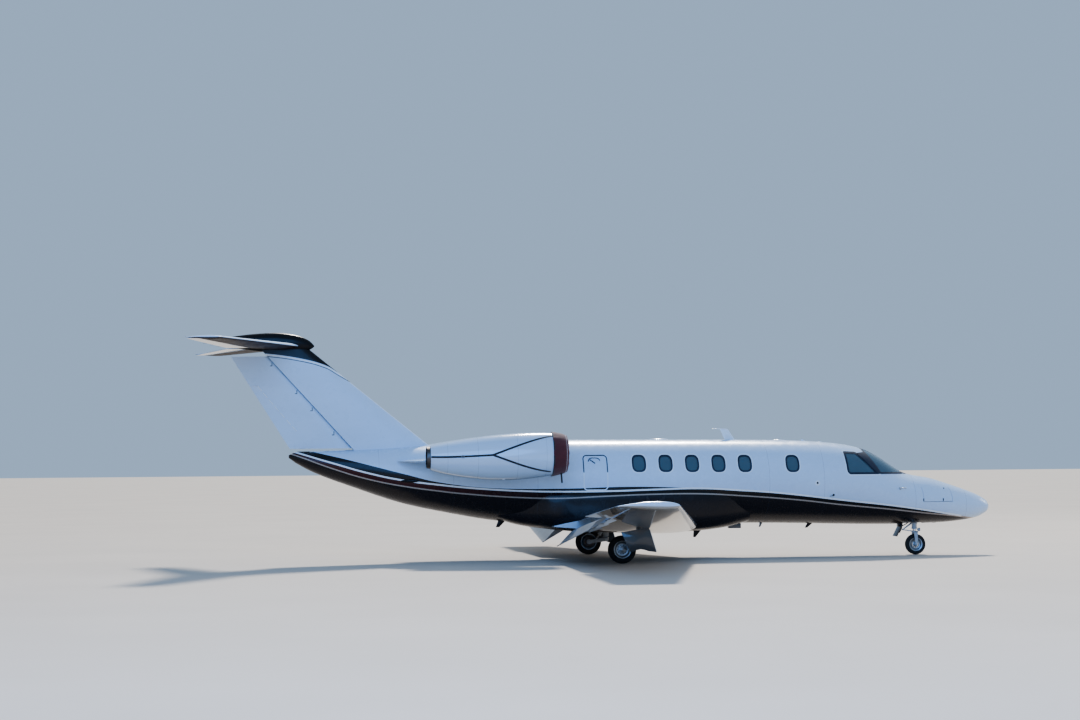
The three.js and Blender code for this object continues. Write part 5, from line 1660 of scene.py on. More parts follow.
class JET_OT_nose_gear(bpy.types.Operator):
    """Make the nose strut, the steered fork with its links and lamp, the bay and the bay's door"""

    bl_idname = "jet.nose_gear"
    bl_label = "Nose gear"

    def execute(self, context):
        x, split = STRUT["x"], STRUT["split"]
        strut = [
            turned("strut", "z", (x, 0, 0), [
                (split + 0.0005, 0.037), (split + 0.0005, 0.05), (0.53, 0.056), (0.552, 0.056),
                (0.558, STRUT["r"]), (0.7, STRUT["r"]), (0.706, 0.06), (0.735, 0.06), (0.741, STRUT["r"]),
                (STRUT["roof"], STRUT["r"]), (STRUT["roof"], 0.037)]),
            pin("trunnion", x, 0, 0.775, 0.148, 0.028, 0.004),
            bar("brace_port", (x, 0.03, 0.72), (6.7, 0.11, 0.8), 0.013, soft=0.002),
            bar("brace_starboard", (x, -0.03, 0.72), (6.7, -0.11, 0.8), 0.013, soft=0.002),
        ]
        dress(smooth(join("nose_strut_casting", strut), 40), "gear",
              replaces=("nose_strut",))
        wheel_x, wheel_z = NOSE_WHEEL["x"], NOSE_WHEEL["z"]
        blade_outline = [(6.522, 0.47), (6.592, 0.47), (6.594, 0.4), (6.586, 0.24), (6.59, 0.2),
                         (6.575, 0.182), (6.549, 0.182), (6.534, 0.2), (6.538, 0.24), (6.518, 0.4)]
        fork = [bar("crown_post", (x, 0, 0.44), (x, 0, 0.482), 0.046, soft=0.006),
                box("crown", (6.514, -0.096, 0.448), (6.6, 0.096, 0.474), 0.008)]
        for side in (1, -1):
            ends = sorted((side * 0.076, side * 0.096))
            fork.append(bevel(slab("fork_blade", blade_outline, *ends), 0.004))
            fork.append(bar("axle_nut", (wheel_x, side * 0.094, wheel_z), (wheel_x, side * 0.108, wheel_z),
                            0.02, sides=6, soft=0.003))
            fork.append(bar("upper_link", (6.495, side * 0.04, 0.645), (6.302, side * 0.01, 0.508), 0.011,
                            0.009, soft=0.002))
            fork.append(bar("lower_link", (6.302, side * 0.01, 0.508), (6.52, side * 0.036, 0.474), 0.009,
                            0.011, soft=0.002))
        fork.append(pin("axle", wheel_x, 0, wheel_z, 0.1, 0.016, 0.002))
        fork.append(pin("link_pin", 6.302, 0, 0.508, 0.026, 0.013, 0.003))
        fork.append(pin("link_lug", 6.495, 0, 0.645, 0.052, 0.012, 0.003))
        fork.append(turned("steering_collar", "z", (x, 0, 0), [
            (0.628, 0.0535), (0.628, 0.062), (0.632, 0.066), (0.656, 0.066), (0.66, 0.062), (0.66, 0.0535)]))
        fork.append(box("lamp_bracket", (6.59, -0.012, 0.468), (6.632, 0.012, 0.476), 0.002))
        fork.append(turned("lamp_shell", "x", (6.61, 0, 0.508), [
            (0.0, 0.0), (0.0, 0.014), (0.012, 0.028), (0.05, 0.035), (0.056, 0.035), (0.056, 0.031),
            (0.05, 0.031), (0.05, 0.0)]))
        dress(smooth(join("nose_fork_casting", fork), 40), "gear", "nose_fork",
              ("nose_fork",))
        dress(smooth(bar("nose_piston", (x, 0, 0.47), (x, 0, split + 0.03), STRUT["piston"] - 0.0005)),
              "chrome", "nose_fork")
        lens = turned("taxi_lamp_lens", "x", (6.6605, 0, 0.508), [
            (0.0, 0.0), (0.0, 0.0305), (0.003, 0.0305), (0.008, 0.02), (0.01, 0.0)])
        dress(lens, "lamp", "nose_fork")

        panel = slab("nose_gear_door_panel", NOSE_GEAR_DOOR, -0.138, 0.138)
        bevel(panel, 0.003)
        parts = [panel, box("hinge_block", (6.19, -0.05, 0.575), (6.25, 0.05, 0.645), 0.006),
                 bar("door_rod", (6.21, 0.0, 0.54), (6.498, 0.0, 0.69), 0.009, soft=0.001)]
        for y in (-0.1, 0.1):
            parts.append(pin("hinge", 6.25, y, 0.66, 0.02, 0.012, 0.002))
            parts.append(bevel(slab("rib", [(6.19, 0.46), (6.262, 0.61), (6.262, 0.55), (6.21, 0.44)],
                                    y - 0.004, y + 0.004), 0.001))
        dress(smooth(join("nose_gear_door_fitted", parts), 32), "dark",
              replaces=("nose_gear_door",))

        (x0, y0, _), (x1, y1, z1) = NOSE_BAY
        lining = box("nose_bay_lining", (x0 - 0.01, y0 - 0.01, 0.66), (x1 + 0.01, y1 + 0.01, z1 + 0.01))
        cut(lining, box("hollow", *NOSE_BAY))
        dress(lining, "gear")
        return {"FINISHED"}


def wick(root, ahead, behind, fall=0.0):
    """A discharge wick that trails from a surface's rear edge."""
    return bar("wick", root + Vector((ahead, 0, 0)), root + Vector((-behind, 0, -fall)), 0.002, 0.001,
               sides=8)


class JET_OT_wing_fittings(bpy.types.Operator):
    """Make the flap brackets, tip lamps, discharge wicks, fuel caps and leading-edge metal"""

    bl_idname = "jet.wing_fittings"
    bl_label = "Wing fittings"

    def execute(self, context):
        hinge, along = flap_hinge()
        arms, hung = [], []
        for run in FLAP_HINGES:
            knuckle = hinge + along * (run + 0.013)
            y = knuckle.y
            lip = foil_point(wing_at(y), FLAP["lip"] - 0.05, -1)
            deep = foil_point(wing_at(y), FLAP["lip"] - 0.005, -1)
            outline = [(lip.x + 0.08, lip.z + 0.008), (knuckle.x + 0.028, knuckle.z - 0.012),
                       (knuckle.x + 0.01, knuckle.z - 0.026),
                       (knuckle.x - 0.018, knuckle.z - 0.02), (knuckle.x - 0.024, knuckle.z + 0.008),
                       (deep.x, deep.z + 0.02)]
            for shift in (-0.022, 0.014):
                arms.append(bevel(slab("bracket", outline, y + shift, y + shift + 0.008), 0.0015))
            arms.append(pin("pin", knuckle.x, y, knuckle.z, 0.03, 0.009, 0.002))
            nose = Matrix.Rotation(-math.radians(FLAP["down"]), 4, along)
            foot = hinge + nose @ (foil_point(wing_at(y), FLAP["lip"] + 0.09, -1) - hinge)
            hung.append(bar("flap_arm", (knuckle.x, y, knuckle.z), foot + Vector((0, 0, 0.01)), 0.012,
                            0.016, soft=0.002))
            hung.append(bar("flap_foot", foot + Vector((0.014, -0.018, 0.004)),
                            foot + Vector((0.014, 0.018, 0.004)), 0.014, soft=0.003))
        both_sides(smooth(join("flap_brackets_port", arms), 35), "ring")
        both_sides(smooth(join("flap_arms_port", hung), 35), "gear", "flap_port")

        tip = wing_at(WING["tip_y"])
        strip = []
        for t in steps(0.04, 0.96, 13):
            x = 0.03 - 0.38 * t
            swell = math.sin(math.pi * t)
            strip.append((x, WING["tip_y"] - 0.014, tip["z"] + 0.012, 0.011 * swell, 0.013 * swell))
        both_sides(smooth(tube("tip_lamp_port", strip, 24), 60), "black")

        edge = []
        for y in steps(0.9, 7.6, 40):
            section = wing_at(y)
            ring = [foil_point(section, f, 1) + Vector((0.0007, 0, 0.0007))
                    for f in reversed(steps(0, 0.045, 8))]
            ring += [foil_point(section, f, -1) + Vector((0.0007, 0, -0.0007)) for f in steps(0, 0.04, 8)[1:]]
            edge.append(ring)
        both_sides(smooth(loft("leading_edge_port", edge), 40), "edge_metal")

        wicks = []
        for y in (4.9, 5.6, 6.3, 7.0):
            root = foil_point(wing_at(y), 1.0, 1)
            wicks.append(wick(root, 0.012, 0.1, 0.004))
        both_sides(join("aileron_wicks_port", wicks), "rubber", "aileron_port")
        caps = []
        for y, share in ((4.3, 0.42), (2.6, 0.4)):
            spot = foil_point(wing_at(y), share, 1)
            caps.append(turned("cap", "z", (spot.x, spot.y, spot.z - 0.002), [
                (-0.006, 0.0), (-0.006, 0.045), (0.003, 0.045), (0.004, 0.043), (0.0035, 0.012),
                (0.005, 0.01), (0.005, 0.0)], 48))
        both_sides(join("fuel_caps_port", caps), "alloy")
        return {"FINISHED"}


class JET_OT_tail_fittings(bpy.types.Operator):
    """Make the rudder's hinge fairings and tab, the fin's vent, tail lamps and wicks"""

    bl_idname = "jet.tail_fittings"
    bl_label = "Tail fittings"

    def execute(self, context):
        notches = []
        for z in (2.56, 3.04, 3.38, 3.93):
            hinge, r = hinge_centre(fin_at(z), fin_at(z)["hinge"])
            for side in (1, -1):
                for aft, top in ((-0.012, -0.03), (0.02, 0.03)):
                    notches.append(box(
                        "notch", (hinge.x + aft, side * r - 0.003, z - 0.045),
                        (hinge.x + 0.035, side * r + 0.004, z + top), 0.002))
        dress(smooth(join("rudder_hinge_fairings", notches)), "leg_door")

        tabs = []
        for z in steps(2.6, 3.4, 7):
            for side in (1, -1):
                ends = []
                for at in (z, z + 0.1):
                    spot = foil_point(fin_at(at), 0.863 + (at - 2.59) * 0.067, side)
                    ends.append(Vector((spot.x, spot.z, at)))
                tabs.append(bar("tab_hinge", *ends, 0.011, sides=12, soft=0.003))
        tabs += [bar("tab_edge", (-6.95, s * 0.008, 3.5), (-6.82, s * 0.03, 3.5), 0.005, sides=12)
                 for s in (1, -1)]
        # The tab's hinge dashes are in the whiter paint: a painted highlight where light catches them
        dress(smooth(join("rudder_tab_hinges", tabs)), "ring", "rudder")

        vents = []
        for side in (1, -1):
            spot = foil_point(fin_at(3.814), 0.2, side)
            vents.append(box("vent", (-5.88, side * abs(spot.z) - 0.002, 3.795),
                             (-5.79, side * abs(spot.z) + 0.002, 3.83), 0.0015))
        dress(smooth(join("fin_vents", vents)), "black")

        bars = []
        for side in (1, -1):
            for start, end in ((-5.8, -5.5), (-5.42, -5.1)):
                ends = []
                for x in (start, end):
                    _, _, middle, half, high = oval(x)
                    ends.append((x, side * 0.075, middle + high * math.sqrt(1 - (0.075 / half) ** 2)))
                bars.append(bar("foot_bar", *ends, 0.006, sides=16, soft=0.002))
        dress(smooth(join("rudder_foot_bars", bars)), "ring")

        ring = turned("tail_lamp_ring", "x", (-6.205, 0, 2.1), [
            (0.0, 0.02), (0.0, 0.034), (0.03, 0.038), (0.03, 0.02)], 40)
        dress(ring, "black")
        lens = turned("tail_lamp_lens", "x", (-6.205, 0, 2.1), [
            (0.02, 0.0), (0.02, 0.02), (0.002, 0.0205), (-0.008, 0.014), (-0.012, 0.0)], 40)
        dress(lens, "lamp")
        wicks = []
        for y in (0.6, 1.1, 1.6):
            root = foil_point(stabiliser_at(y), 1.0, 1)
            wicks.append(wick(root, 0.01, 0.09))
        both_sides(drooped(join("elevator_wicks_port", wicks)), "black",
                   "elevator_port")
        beacon = dome("beacon", -6.62, -6.5, 0, 4.545, 0.03, 0.006)
        dress(beacon, "lamp")
        return {"FINISHED"}


class JET_OT_body_fittings(bpy.types.Operator):
    """Make the aerials, ports, probes, latches, handles and drains on the body"""

    bl_idname = "jet.body_fittings"
    bl_label = "Body fittings"

    def execute(self, context):
        def crown_at(x):
            _, _, middle, _, high = oval(x)
            return middle + high

        aerial = blade("comms_blade", (2.6, 2.81, crown_at(2.7) - 0.012), (2.5, 2.66, 2.594), 0.022)
        streamer = bar("comms_streamer", (2.64, 0, 2.592), (2.35, 0, 2.606), 0.008, 0.004, soft=0.001)
        foot = dome("comms_foot", 2.55, 2.86, 0, crown_at(2.7), 0.035, 0.01)
        dress(smooth(join("comms_aerial", [aerial, streamer, foot]), 50), "ring")
        domes = [dome("satellite_dome", 1.01, 1.44, 0, crown_at(1.2) - 0.005, 0.12, 0.032),
                 dome("position_dome", 3.57, 3.85, 0, crown_at(3.7) - 0.004, 0.07, 0.018),
                 dome("position_stud", 4.52, 4.62, 0, crown_at(4.57) - 0.004, 0.03, 0.016),
                 blade("marker_blade", (4.2, 4.3, crown_at(4.25) - 0.01),
                       (4.18, 4.22, crown_at(4.25) + 0.03), 0.012)]
        dress(smooth(join("crown_domes", domes), 50), "ring")
        belly = [blade("belly_blade", (1.93, 2.09, 0.56), (1.92, 1.97, 0.412), 0.016),
                 blade("aft_belly_blade", (-2.05, -1.9, 0.79), (-2.1, -2.03, 0.66), 0.014),
                 blade("fore_belly_blade", (4.3, 4.42, 0.68), (4.24, 4.29, 0.575), 0.012)]
        dress(smooth(join("belly_aerials", belly), 50), "black")
        drains = [box("drain_box", (2.64, -0.06, 0.582), (2.9, 0.06, 0.68), 0.012),
                  blade("drain_mast", (3.3, 3.36, 0.69), (3.28, 3.31, 0.6), 0.01),
                  dome("light_fairing", 6.9, 7.02, 0, 0.655, 0.03, 0.014)]
        dress(smooth(join("belly_drains", drains), 50), "leg_door")

        for side, word in ((1, "port"), (-1, "starboard")):
            # A light ring round the static port: a painted highlight round its dark centre
            ring = stud("static_ring_" + word, 4.3, 1.49, side, 0.055, 0.0015)
            dress(ring, "ring")
            dark = [stud("static_port", 4.3, 1.49, side, 0.024, 0.0024),
                    stud("ice_dot", 7.06, 1.355, side, 0.016, 0.003)]
            for x in (6.57, 7.01):
                at = skin_at(x, 1.125)
                dark.append(skin_plate("latch", slab(
                    "cutter", rectangle(x - 0.01, x + 0.01, 1.096, 1.154), side * 0.1, side * 1.0, 0.008),
                    (x - 0.01, x + 0.01), 0.0035) if at else None)
            dress(smooth(join("ports_" + word, [piece for piece in dark if piece]), 40), "black",
                  "airframe")
            root, way = skin_spot(4.64, 1.246, side, -0.004)
            vane = [bar("vane_foot", root, root + way * 0.008, 0.024, 0.022, soft=0.002),
                    bar("vane_post", root, root + way * 0.05, 0.008, 0.005, soft=0.001),
                    bar("vane_arm", root + way * 0.045, root + way * 0.045 + Vector((-0.09, 0, -0.01)),
                        0.007, 0.004, soft=0.001)]
            dress(smooth(join("angle_vane_" + word, vane), 40), "black")
            root, way = skin_spot(6.05, 1.36, side, -0.006)
            probe = pipe("pitot_arm", [root, root + way * 0.05,
                                       root + way * 0.085 + Vector((0.012, 0, -0.006)),
                                       root + way * 0.09 + Vector((0.11, 0, -0.012))], 0.009)
            base = bar("pitot_foot", root, root + way * 0.012, 0.03, 0.026, soft=0.003)
            dress(smooth(join("pitot_" + word, [probe, base]), 50), "steel")
        # Round the exit hatch: the dark band over its upper edge is painted shade in the recess, the light
        # band along its lower edge a painted highlight
        ends = (EXIT_HATCH["aft"], EXIT_HATCH["front"])
        for name, finish, low, high in (("dark", "seal", 1.74, 2.2), ("light", "ring", 1.2, 1.74)):
            outline = skin_plate("exit_outline_" + name, exit_block(0.012), ends, 0.002, exit_block(-0.008))
            cut(outline, box("stretch", (-0.6, -1, low), (0.2, -0.3, high)), "INTERSECT")
            dress(body_shading(outline), finish)
        arc = []
        for x, z in ((-0.33, 1.955), (-0.32, 2.005), (-0.26, 2.025), (-0.17, 2.025), (-0.11, 2.005),
                     (-0.1, 1.97)):
            arc.append(skin_spot(x, z, -1, 0.006)[0])
        lever = [skin_spot(x, z, -1, 0.008)[0] for x, z in ((-0.3, 1.99), (-0.24, 1.95), (-0.2, 1.915))]
        handle = [pipe("arc", arc, 0.0075), pipe("lever", lever, 0.009)]
        dress(join("exit_handle", handle), "seal")
        scoop = dome("bleed_scoop_starboard", -4.03, -3.67, 0, 0, 0.03, 0.032)
        for vertex in scoop.data.vertices:
            vertex.co.y += -skin_at(vertex.co.x, 1.602)
            vertex.co.z += 1.602
        both_sides(scoop, "black")
        outer = skin_plate("door_handle_port", slab(
            "cutter", rectangle(3.58, 3.78, 1.43, 1.49), 0.1, 1.0, 0.02), (3.58, 3.78), 0.003)
        dress(outer, "steel", "entry_door")
        return {"FINISHED"}


class JET_OT_engine_fittings(bpy.types.Operator):
    """Make the exhaust cones with their vanes, and the pylons' aft fairings"""

    bl_idname = "jet.engine_fittings"
    bl_label = "Engine fittings"

    def execute(self, context):
        middle = between(DUCT, -3.1, 1)
        parts = [turned("cone", "x", (0, NACELLE_Y, middle), [
            (-2.84, 0.0), (-2.84, 0.17), (-2.95, 0.168), (-3.1, 0.14), (-3.25, 0.09), (-3.36, 0.035),
            (-3.385, 0.012), (-3.39, 0.0)], 48)]
        reach = between(DUCT, -2.95, 2) - 0.01
        for i in range(12):
            a = 2 * math.pi * i / 12
            way = Vector((0, math.cos(a), math.sin(a)))
            centre = Vector((-2.92, NACELLE_Y, middle))
            side = Vector((1, 0, 0)).cross(way) * 0.004
            rings = []
            for r in (0.16, reach):
                at = centre + way * r
                front, back = at + Vector((0.07, 0, 0)), at + Vector((-0.07, 0, 0))
                rings.append([front, at + side, back + side * 0.3, back - side * 0.3, at - side])
            parts.append(loft("vane", rings))
        both_sides(smooth(join("exhaust_cone_port", parts), 40), "burnt")

        tail = []
        for y, aft, front, thick in ((0.5, -4.1, -3.7, 0.06), (0.7, -4.02, -3.6, 0.07),
                                     (0.95, -3.9, -3.45, 0.07), (1.13, -3.7, -3.35, 0.05)):
            tail.append(foil_ring({"y": y, "x": front, "z": PYLON["z"] - 0.02, "chord": front - aft,
                                   "thick": thick / (front - aft), "camber": 0.0}, 16))
        both_sides(smooth(loft("pylon_tail_port", tail), 35), "nacelle")
        lamp = dome("nacelle_stud_port", -2.14, -2.08, 0, 0, 0.02, 0.012)
        for vertex in lamp.data.vertices:
            vertex.co += Vector((0, NACELLE_Y + 0.12,
                                 between(NACELLE, -2.1, 1) - between(NACELLE, -2.1, 2) + 0.018))
        both_sides(lamp, "ring")
        return {"FINISHED"}


# Seats: backrest's rear, side, width and height scale of each, and the shapes of one, from the floor
FLOOR_TOP = 0.985
SEATS = {
    "pilot_seat_port": (4.68, 0.32, 0.913, 1.02), "pilot_seat_starboard": (4.68, -0.32, 0.913, 1.02),
    "cabin_seat_1": (1.98, 0.33, 1, 1), "cabin_seat_2": (1.98, -0.33, 1, 1),
    "cabin_seat_3": (0.62, 0.33, 1, 1), "cabin_seat_4": (0.62, -0.33, 1, 1),
}
SEAT_CUSHION = [(0.05, 0.285), (0.46, 0.295), (0.478, 0.33), (0.47, 0.36), (0.44, 0.372), (0.12, 0.38)]
SEAT_BACK = [(0.022, 0.335), (0.112, 0.4), (0.024, 0.78), (-0.005, 0.822), (-0.05, 0.827), (-0.064, 0.79)]
SEAT_HEAD = [(0.0, 0.69), (0.066, 0.7), (0.055, 0.78), (0.035, 0.812), (-0.005, 0.817)]
SEAT_SHELL = [(-0.02, 0.28), (0.004, 0.28), (-0.09, 0.835), (-0.112, 0.845)]
VOXEL = 0.01
CHANNEL = (0.006, 0.008)


def inflate(piece, cap, pressure=4.0, frames=20):
    """Fills a closed piece with air as cloth, and holds each point near where it began."""
    pick(piece)
    start = [vertex.co.copy() for vertex in piece.data.vertices]
    cloth = piece.modifiers.new("cloth", "CLOTH")
    cloth.settings.mass = 0.3
    cloth.settings.use_pressure = True
    cloth.settings.uniform_pressure_force = pressure
    cloth.settings.effector_weights.gravity = 0
    cloth.point_cache.frame_start, cloth.point_cache.frame_end = 1, frames
    for frame_number in range(1, frames + 1):
        bpy.context.scene.frame_set(frame_number)
    bpy.ops.object.modifier_apply(modifier=cloth.name)
    bpy.context.scene.frame_set(1)
    for vertex, home in zip(piece.data.vertices, start):
        moved = vertex.co - home
        if moved.length > cap:
            vertex.co = home + moved * (cap / moved.length)


def pad(name, outline, half, cap, channels):
    """A stuffed pad: a rounded form, filled, with stitched channels across an axis each."""
    piece = bevel(slab(name, outline, -half, half, 0.014, 4), 0.016, 4, 60)
    pick(piece)
    piece.data.remesh_voxel_size = VOXEL
    bpy.ops.object.voxel_remesh()
    inflate(piece, cap)
    mesh = piece.data
    pushes = []
    for vertex in mesh.vertices:
        deep = max(math.exp(-((vertex.co[axis] - at) / CHANNEL[1]) ** 2) for axis, at in channels)
        pushes.append(vertex.normal * deep * CHANNEL[0])
    for vertex, push in zip(mesh.vertices, pushes):
        vertex.co -= push
    modifier = piece.modifiers.new("rounder", "SUBSURF")
    modifier.levels = 1
    bpy.ops.object.modifier_apply(modifier=modifier.name)
    return smooth(piece, 180)


def lap_belt(cushion):
    """A belt laid over a cushion, with its buckle."""
    bpy.context.view_layer.update()
    spots = []
    for y in steps(-0.125, 0.125, 33):
        found, spot, _, _ = cushion.ray_cast(Vector((0.265, y, 1)), Vector((0, 0, -1)))
        if not found:
            raise RuntimeError("the belt misses its cushion")
        spots.append(spot + Vector((0, 0, 0.002)))
    belt = strap("belt", spots, [Vector((0, 0, 1))] * len(spots), 0.045, 0.002)
    middle = spots[len(spots) // 2]
    buckle = [
        box("buckle", middle + Vector((-0.027, -0.03, 0.002)), middle + Vector((0.027, 0.03, 0.011)), 0.003),
        box("latch", middle + Vector((-0.02, -0.022, 0.0105)), middle + Vector((0.02, 0.012, 0.0145)),
            0.0015),
    ]
    length = sum((b - a).length for a, b in zip(spots, spots[1:]))
    return belt, smooth(join("buckle", buckle)), length


class JET_OT_seats(bpy.types.Operator):
    """Make one padded seat and copy it to the six places"""

    bl_idname = "jet.seats"
    bl_label = "Seats"

    def execute(self, context):
        cushion = pad("cushion", SEAT_CUSHION, 0.155, 0.022, ((0, 0.2), (0, 0.335), (1, 0.1), (1, -0.1)))
        back = pad("back", SEAT_BACK, 0.165, 0.02, ((2, 0.5), (2, 0.62), (1, 0.1), (1, -0.1)))
        head = pad("headrest", SEAT_HEAD, 0.105, 0.012, ((1, 0.0),))
        belt, buckle, length = lap_belt(cushion)
        shape = [(-0.165, 0.27), (0.165, 0.27), (0.192, 0.6), (0.16, 0.85), (-0.16, 0.85), (-0.192, 0.6)]
        shield = cut(slab("shell", SEAT_SHELL, -0.195, 0.195),
                     slab("mask", shape, -0.3, 0.3, 0.06, plane="yz"), "INTERSECT")
        parts = [
            bevel(shield, 0.006),
            box("pan", (0.02, -0.178, 0.25), (0.45, 0.178, 0.288), 0.012),
            box("base", (0.1, -0.11, 0.014), (0.41, 0.11, 0.256), 0.02),
        ]
        for side in (1, -1):
            parts += [
                box("rail", (0.03, side * 0.14 - 0.012, 0.001), (0.46, side * 0.14 + 0.012, 0.016), 0.004),
                box("arm_post", (0.12, side * 0.2 - 0.012, 0.255), (0.26, side * 0.2 + 0.012, 0.5), 0.008),
                box("arm_foot", (0.1, side * 0.185 - 0.028, 0.25), (0.28, side * 0.185 + 0.027, 0.275),
                    0.006),
                bar("lever", (0.36, side * 0.17, 0.27), (0.36, side * 0.2, 0.27), 0.007, soft=0.002),
            ]
        hard = smooth(join("frame", parts))
        arms = [bevel(slab("arm", [(-0.02, 0.5), (0.38, 0.5), (0.405, 0.52), (0.395, 0.545), (0.0, 0.55)],
                           side * 0.178, side * 0.224, 0.01), 0.008) for side in (1, -1)]
        models = {
            "cushion": (cushion, "leather"), "back": (back, "leather"), "headrest": (head, "leather"),
            "arms": (smooth(join("arms", arms)), "leather"), "frame": (hard, "trim"),
            "belt": (belt, "belt"), "buckle": (buckle, "steel"),
        }
        for seat, (x, y, wide, high) in SEATS.items():
            place = Matrix.Translation((x, y, FLOOR_TOP)) @ Matrix.Diagonal((1, wide, high, 1))
            for word, (model, finish) in models.items():
                piece = copy_of(model, f"{seat}_{word}")
                piece.data.transform(place)
                stands_for = (seat,) if word == "frame" else ()
                dress(piece, finish, replaces=stands_for)
        drop(*[model for model, _ in models.values()])
        return {"FINISHED"}


def within_body(name, x0, x1, inset, low, high, y0=-1.0, y1=1.0):
    """What a block fills of the body's inside."""
    piece = tube(name, [oval(x, inset) for x in steps(x0, x1, 6)], BODY_POINTS)
    return cut(piece, box("block", (x0 - 0.1, y0, low), (x1 + 0.1, y1, high)), "INTERSECT")


class JET_OT_cabin(bpy.types.Operator):
    """Line the cabin, with its partitions, ledges, cabinet, ceiling strip and door trim"""

    bl_idname = "jet.cabin"
    bl_label = "Cabin"

    def execute(self, context):
        lining = shell("cabin_lining", -1.3, 4.38, 0.048, 0.056)
        cut(lining, box("below", (-2, -2, 0), (5, 2, 1.0)))
        cut(lining, join("windows", [window_block(x, side, -0.02) for x, side in cabin_window_places()]))
        cut(lining, doorway(0.012))
        dress(body_shading(lining), "liner")
        lining = shell("cockpit_lining", 4.45, 5.25, 0.048, 0.054)
        cut(lining, box("below", (4, -2, 0), (6, 2, 1.0)))
        for side in (1, -1):
            cut(lining, cockpit_block(SIDE_WINDOW, side, -0.02))
        dress(body_shading(lining), "liner")
        for name, x in (("cabin_aft_bulkhead", -1.33), ("cabin_front_partition", 4.4)):
            wall = within_body(name, x, x + 0.02, 0.058, FLOOR_TOP + 0.001, 3)
            if x > 0:
                opening = [(-0.3, 0.9), (0.3, 0.9), (0.3, 1.98), (-0.3, 1.98)]
                cut(wall, slab("opening", opening, x - 0.1, x + 0.1, 0.06, plane="yz"))
            dress(smooth(bevel(wall, 0.003, 2)), "liner")
        cabinet = within_body("galley_cabinet", 3.78, 4.39, 0.06, FLOOR_TOP + 0.001, 1.96, y1=-0.36)
        grooves = [box("gap", (3.7, -0.364, z), (4.5, -0.3, z + 0.006)) for z in (1.2, 1.42, 1.64)]
        cut(cabinet, join("gaps", grooves))
        dress(smooth(bevel(cabinet, 0.004, 2)), "wood")
        ledge = box("cabin_ledge_port", (-1.2, 0.6, 1.44), (3.3, 0.77, 1.462), 0.006)
        both_sides(smooth(ledge), "wood")
        strip = [box("strip", (-1.1, -0.14, 2.3), (3.3, 0.14, 2.322), 0.008)]
        for x in steps(-0.6, 3.0, 6):
            strip += [bar("outlet", (x, s * 0.08, 2.302), (x, s * 0.08, 2.292), 0.022, 0.016, soft=0.003)
                      for s in (1, -1)]
        dress(smooth(join("cabin_service_strip", strip)), "liner")
        trim = wall_piece("entry_door_trim", (3.4, 4.3), (0.0465, 0.054), doorway(-0.04))
        dress(trim, "liner", "entry_door")
        y = skin_at(3.85, 1.55) - 0.05
        grip = pipe("entry_door_handle",
                    [(3.78, y + 0.004, 1.7), (3.78, y - 0.03, 1.7), (3.78, y - 0.035, 1.6),
                                          (3.78, y - 0.035, 1.5), (3.78, y + 0.004, 1.5)], 0.009)
        dress(grip, "steel", "entry_door")
        return {"FINISHED"}


# Side outlines of the cockpit panel, its glareshield and the pedestal, and a yoke's line from aft
PANEL = [(5.38, 0.9855), (5.56, 0.9855), (5.71, 1.625), (5.42, 1.62), (5.345, 1.555)]
GLARESHIELD = [(5.3, 1.585), (5.36, 1.575), (5.7, 1.62), (5.7, 1.638), (5.4, 1.648), (5.31, 1.61)]
PEDESTAL = [(4.98, 0.9855), (5.38, 0.9855), (5.36, 1.3), (5.2, 1.28), (4.98, 1.15)]
YOKE = [(0.13, 0.1), (0.155, 0.04), (0.14, -0.03), (0.07, -0.05), (0, -0.03), (-0.07, -0.05),
        (-0.14, -0.03), (-0.155, 0.04), (-0.13, 0.1)]


class JET_OT_cockpit(bpy.types.Operator):
    """Make the instrument panel, its screens, the pedestal, yokes and pedals"""

    bl_idname = "jet.cockpit"
    bl_label = "Cockpit"

    def execute(self, context):
        inside = tube("inside", [oval(x, 0.06) for x in steps(5.2, 5.8, 7)], BODY_POINTS)
        body = cut(slab("panel", PANEL, -0.69, 0.69), inside, "INTERSECT", keep=True)
        shield = cut(slab("glareshield", GLARESHIELD, -0.64, 0.64), inside, "INTERSECT")
        panel = [bevel(body, 0.008),
                 bevel(slab("pedestal", PEDESTAL, -0.1, 0.1), 0.012)]
        for i in range(11):
            y = -0.5 + 0.1 * i
            panel.append(bar("knob", (5.365, y, 1.25), (5.34, y, 1.25), 0.013, 0.01, soft=0.002))
        for y in (-0.4, -0.24, 0.24, 0.4):
            panel.append(bevel(slab("pedal", [(5.3, 1.06), (5.32, 1.05), (5.35, 1.17), (5.33, 1.18)],
                                    y - 0.04, y + 0.04), 0.004))
            panel.append(bar("pedal_arm", (5.33, y, 1.12), (5.42, y, 1.16), 0.01))
        dress(smooth(join("cockpit_panel", panel)), "panel", replaces=("instrument_panel",))
        dress(smooth(bevel(shield, 0.005)), "trim")
        screens, rims = [], []
        for y0, y1 in ((-0.6, -0.23), (-0.18, 0.18), (0.23, 0.6)):
            rims.append(box("rim", (5.338, y0 - 0.015, 1.295), (5.375, y1 + 0.015, 1.55), 0.006))
            screens.append(box("screen", (5.3355, y0, 1.31), (5.35, y1, 1.535), 0.002))
        dress(smooth(join("screen_rims", rims)), "trim")
        dress(smooth(join("screens", screens)), "screen")
        grips = []
        for y in (0.32, -0.32):
            grips.append(bar("column", (5.37, y, 1.2), (5.13, y, 1.19), 0.015, soft=0.003))
            grips.append(pipe("yoke", [Vector((5.13, y + a, 1.2 + b)) for a, b in YOKE], 0.013))
        for y in (-0.035, 0.035):
            grips.append(bar("lever", (5.2, y, 1.27), (5.16, y, 1.39), 0.007))
            grips.append(turned("lever_knob", "z", (5.157, y, 1.385), [
                (0, 0), (0, 0.012), (0.012, 0.019), (0.03, 0.019), (0.04, 0.01), (0.042, 0)], 24))
        dress(join("cockpit_controls", grips), "trim")
        return {"FINISHED"}


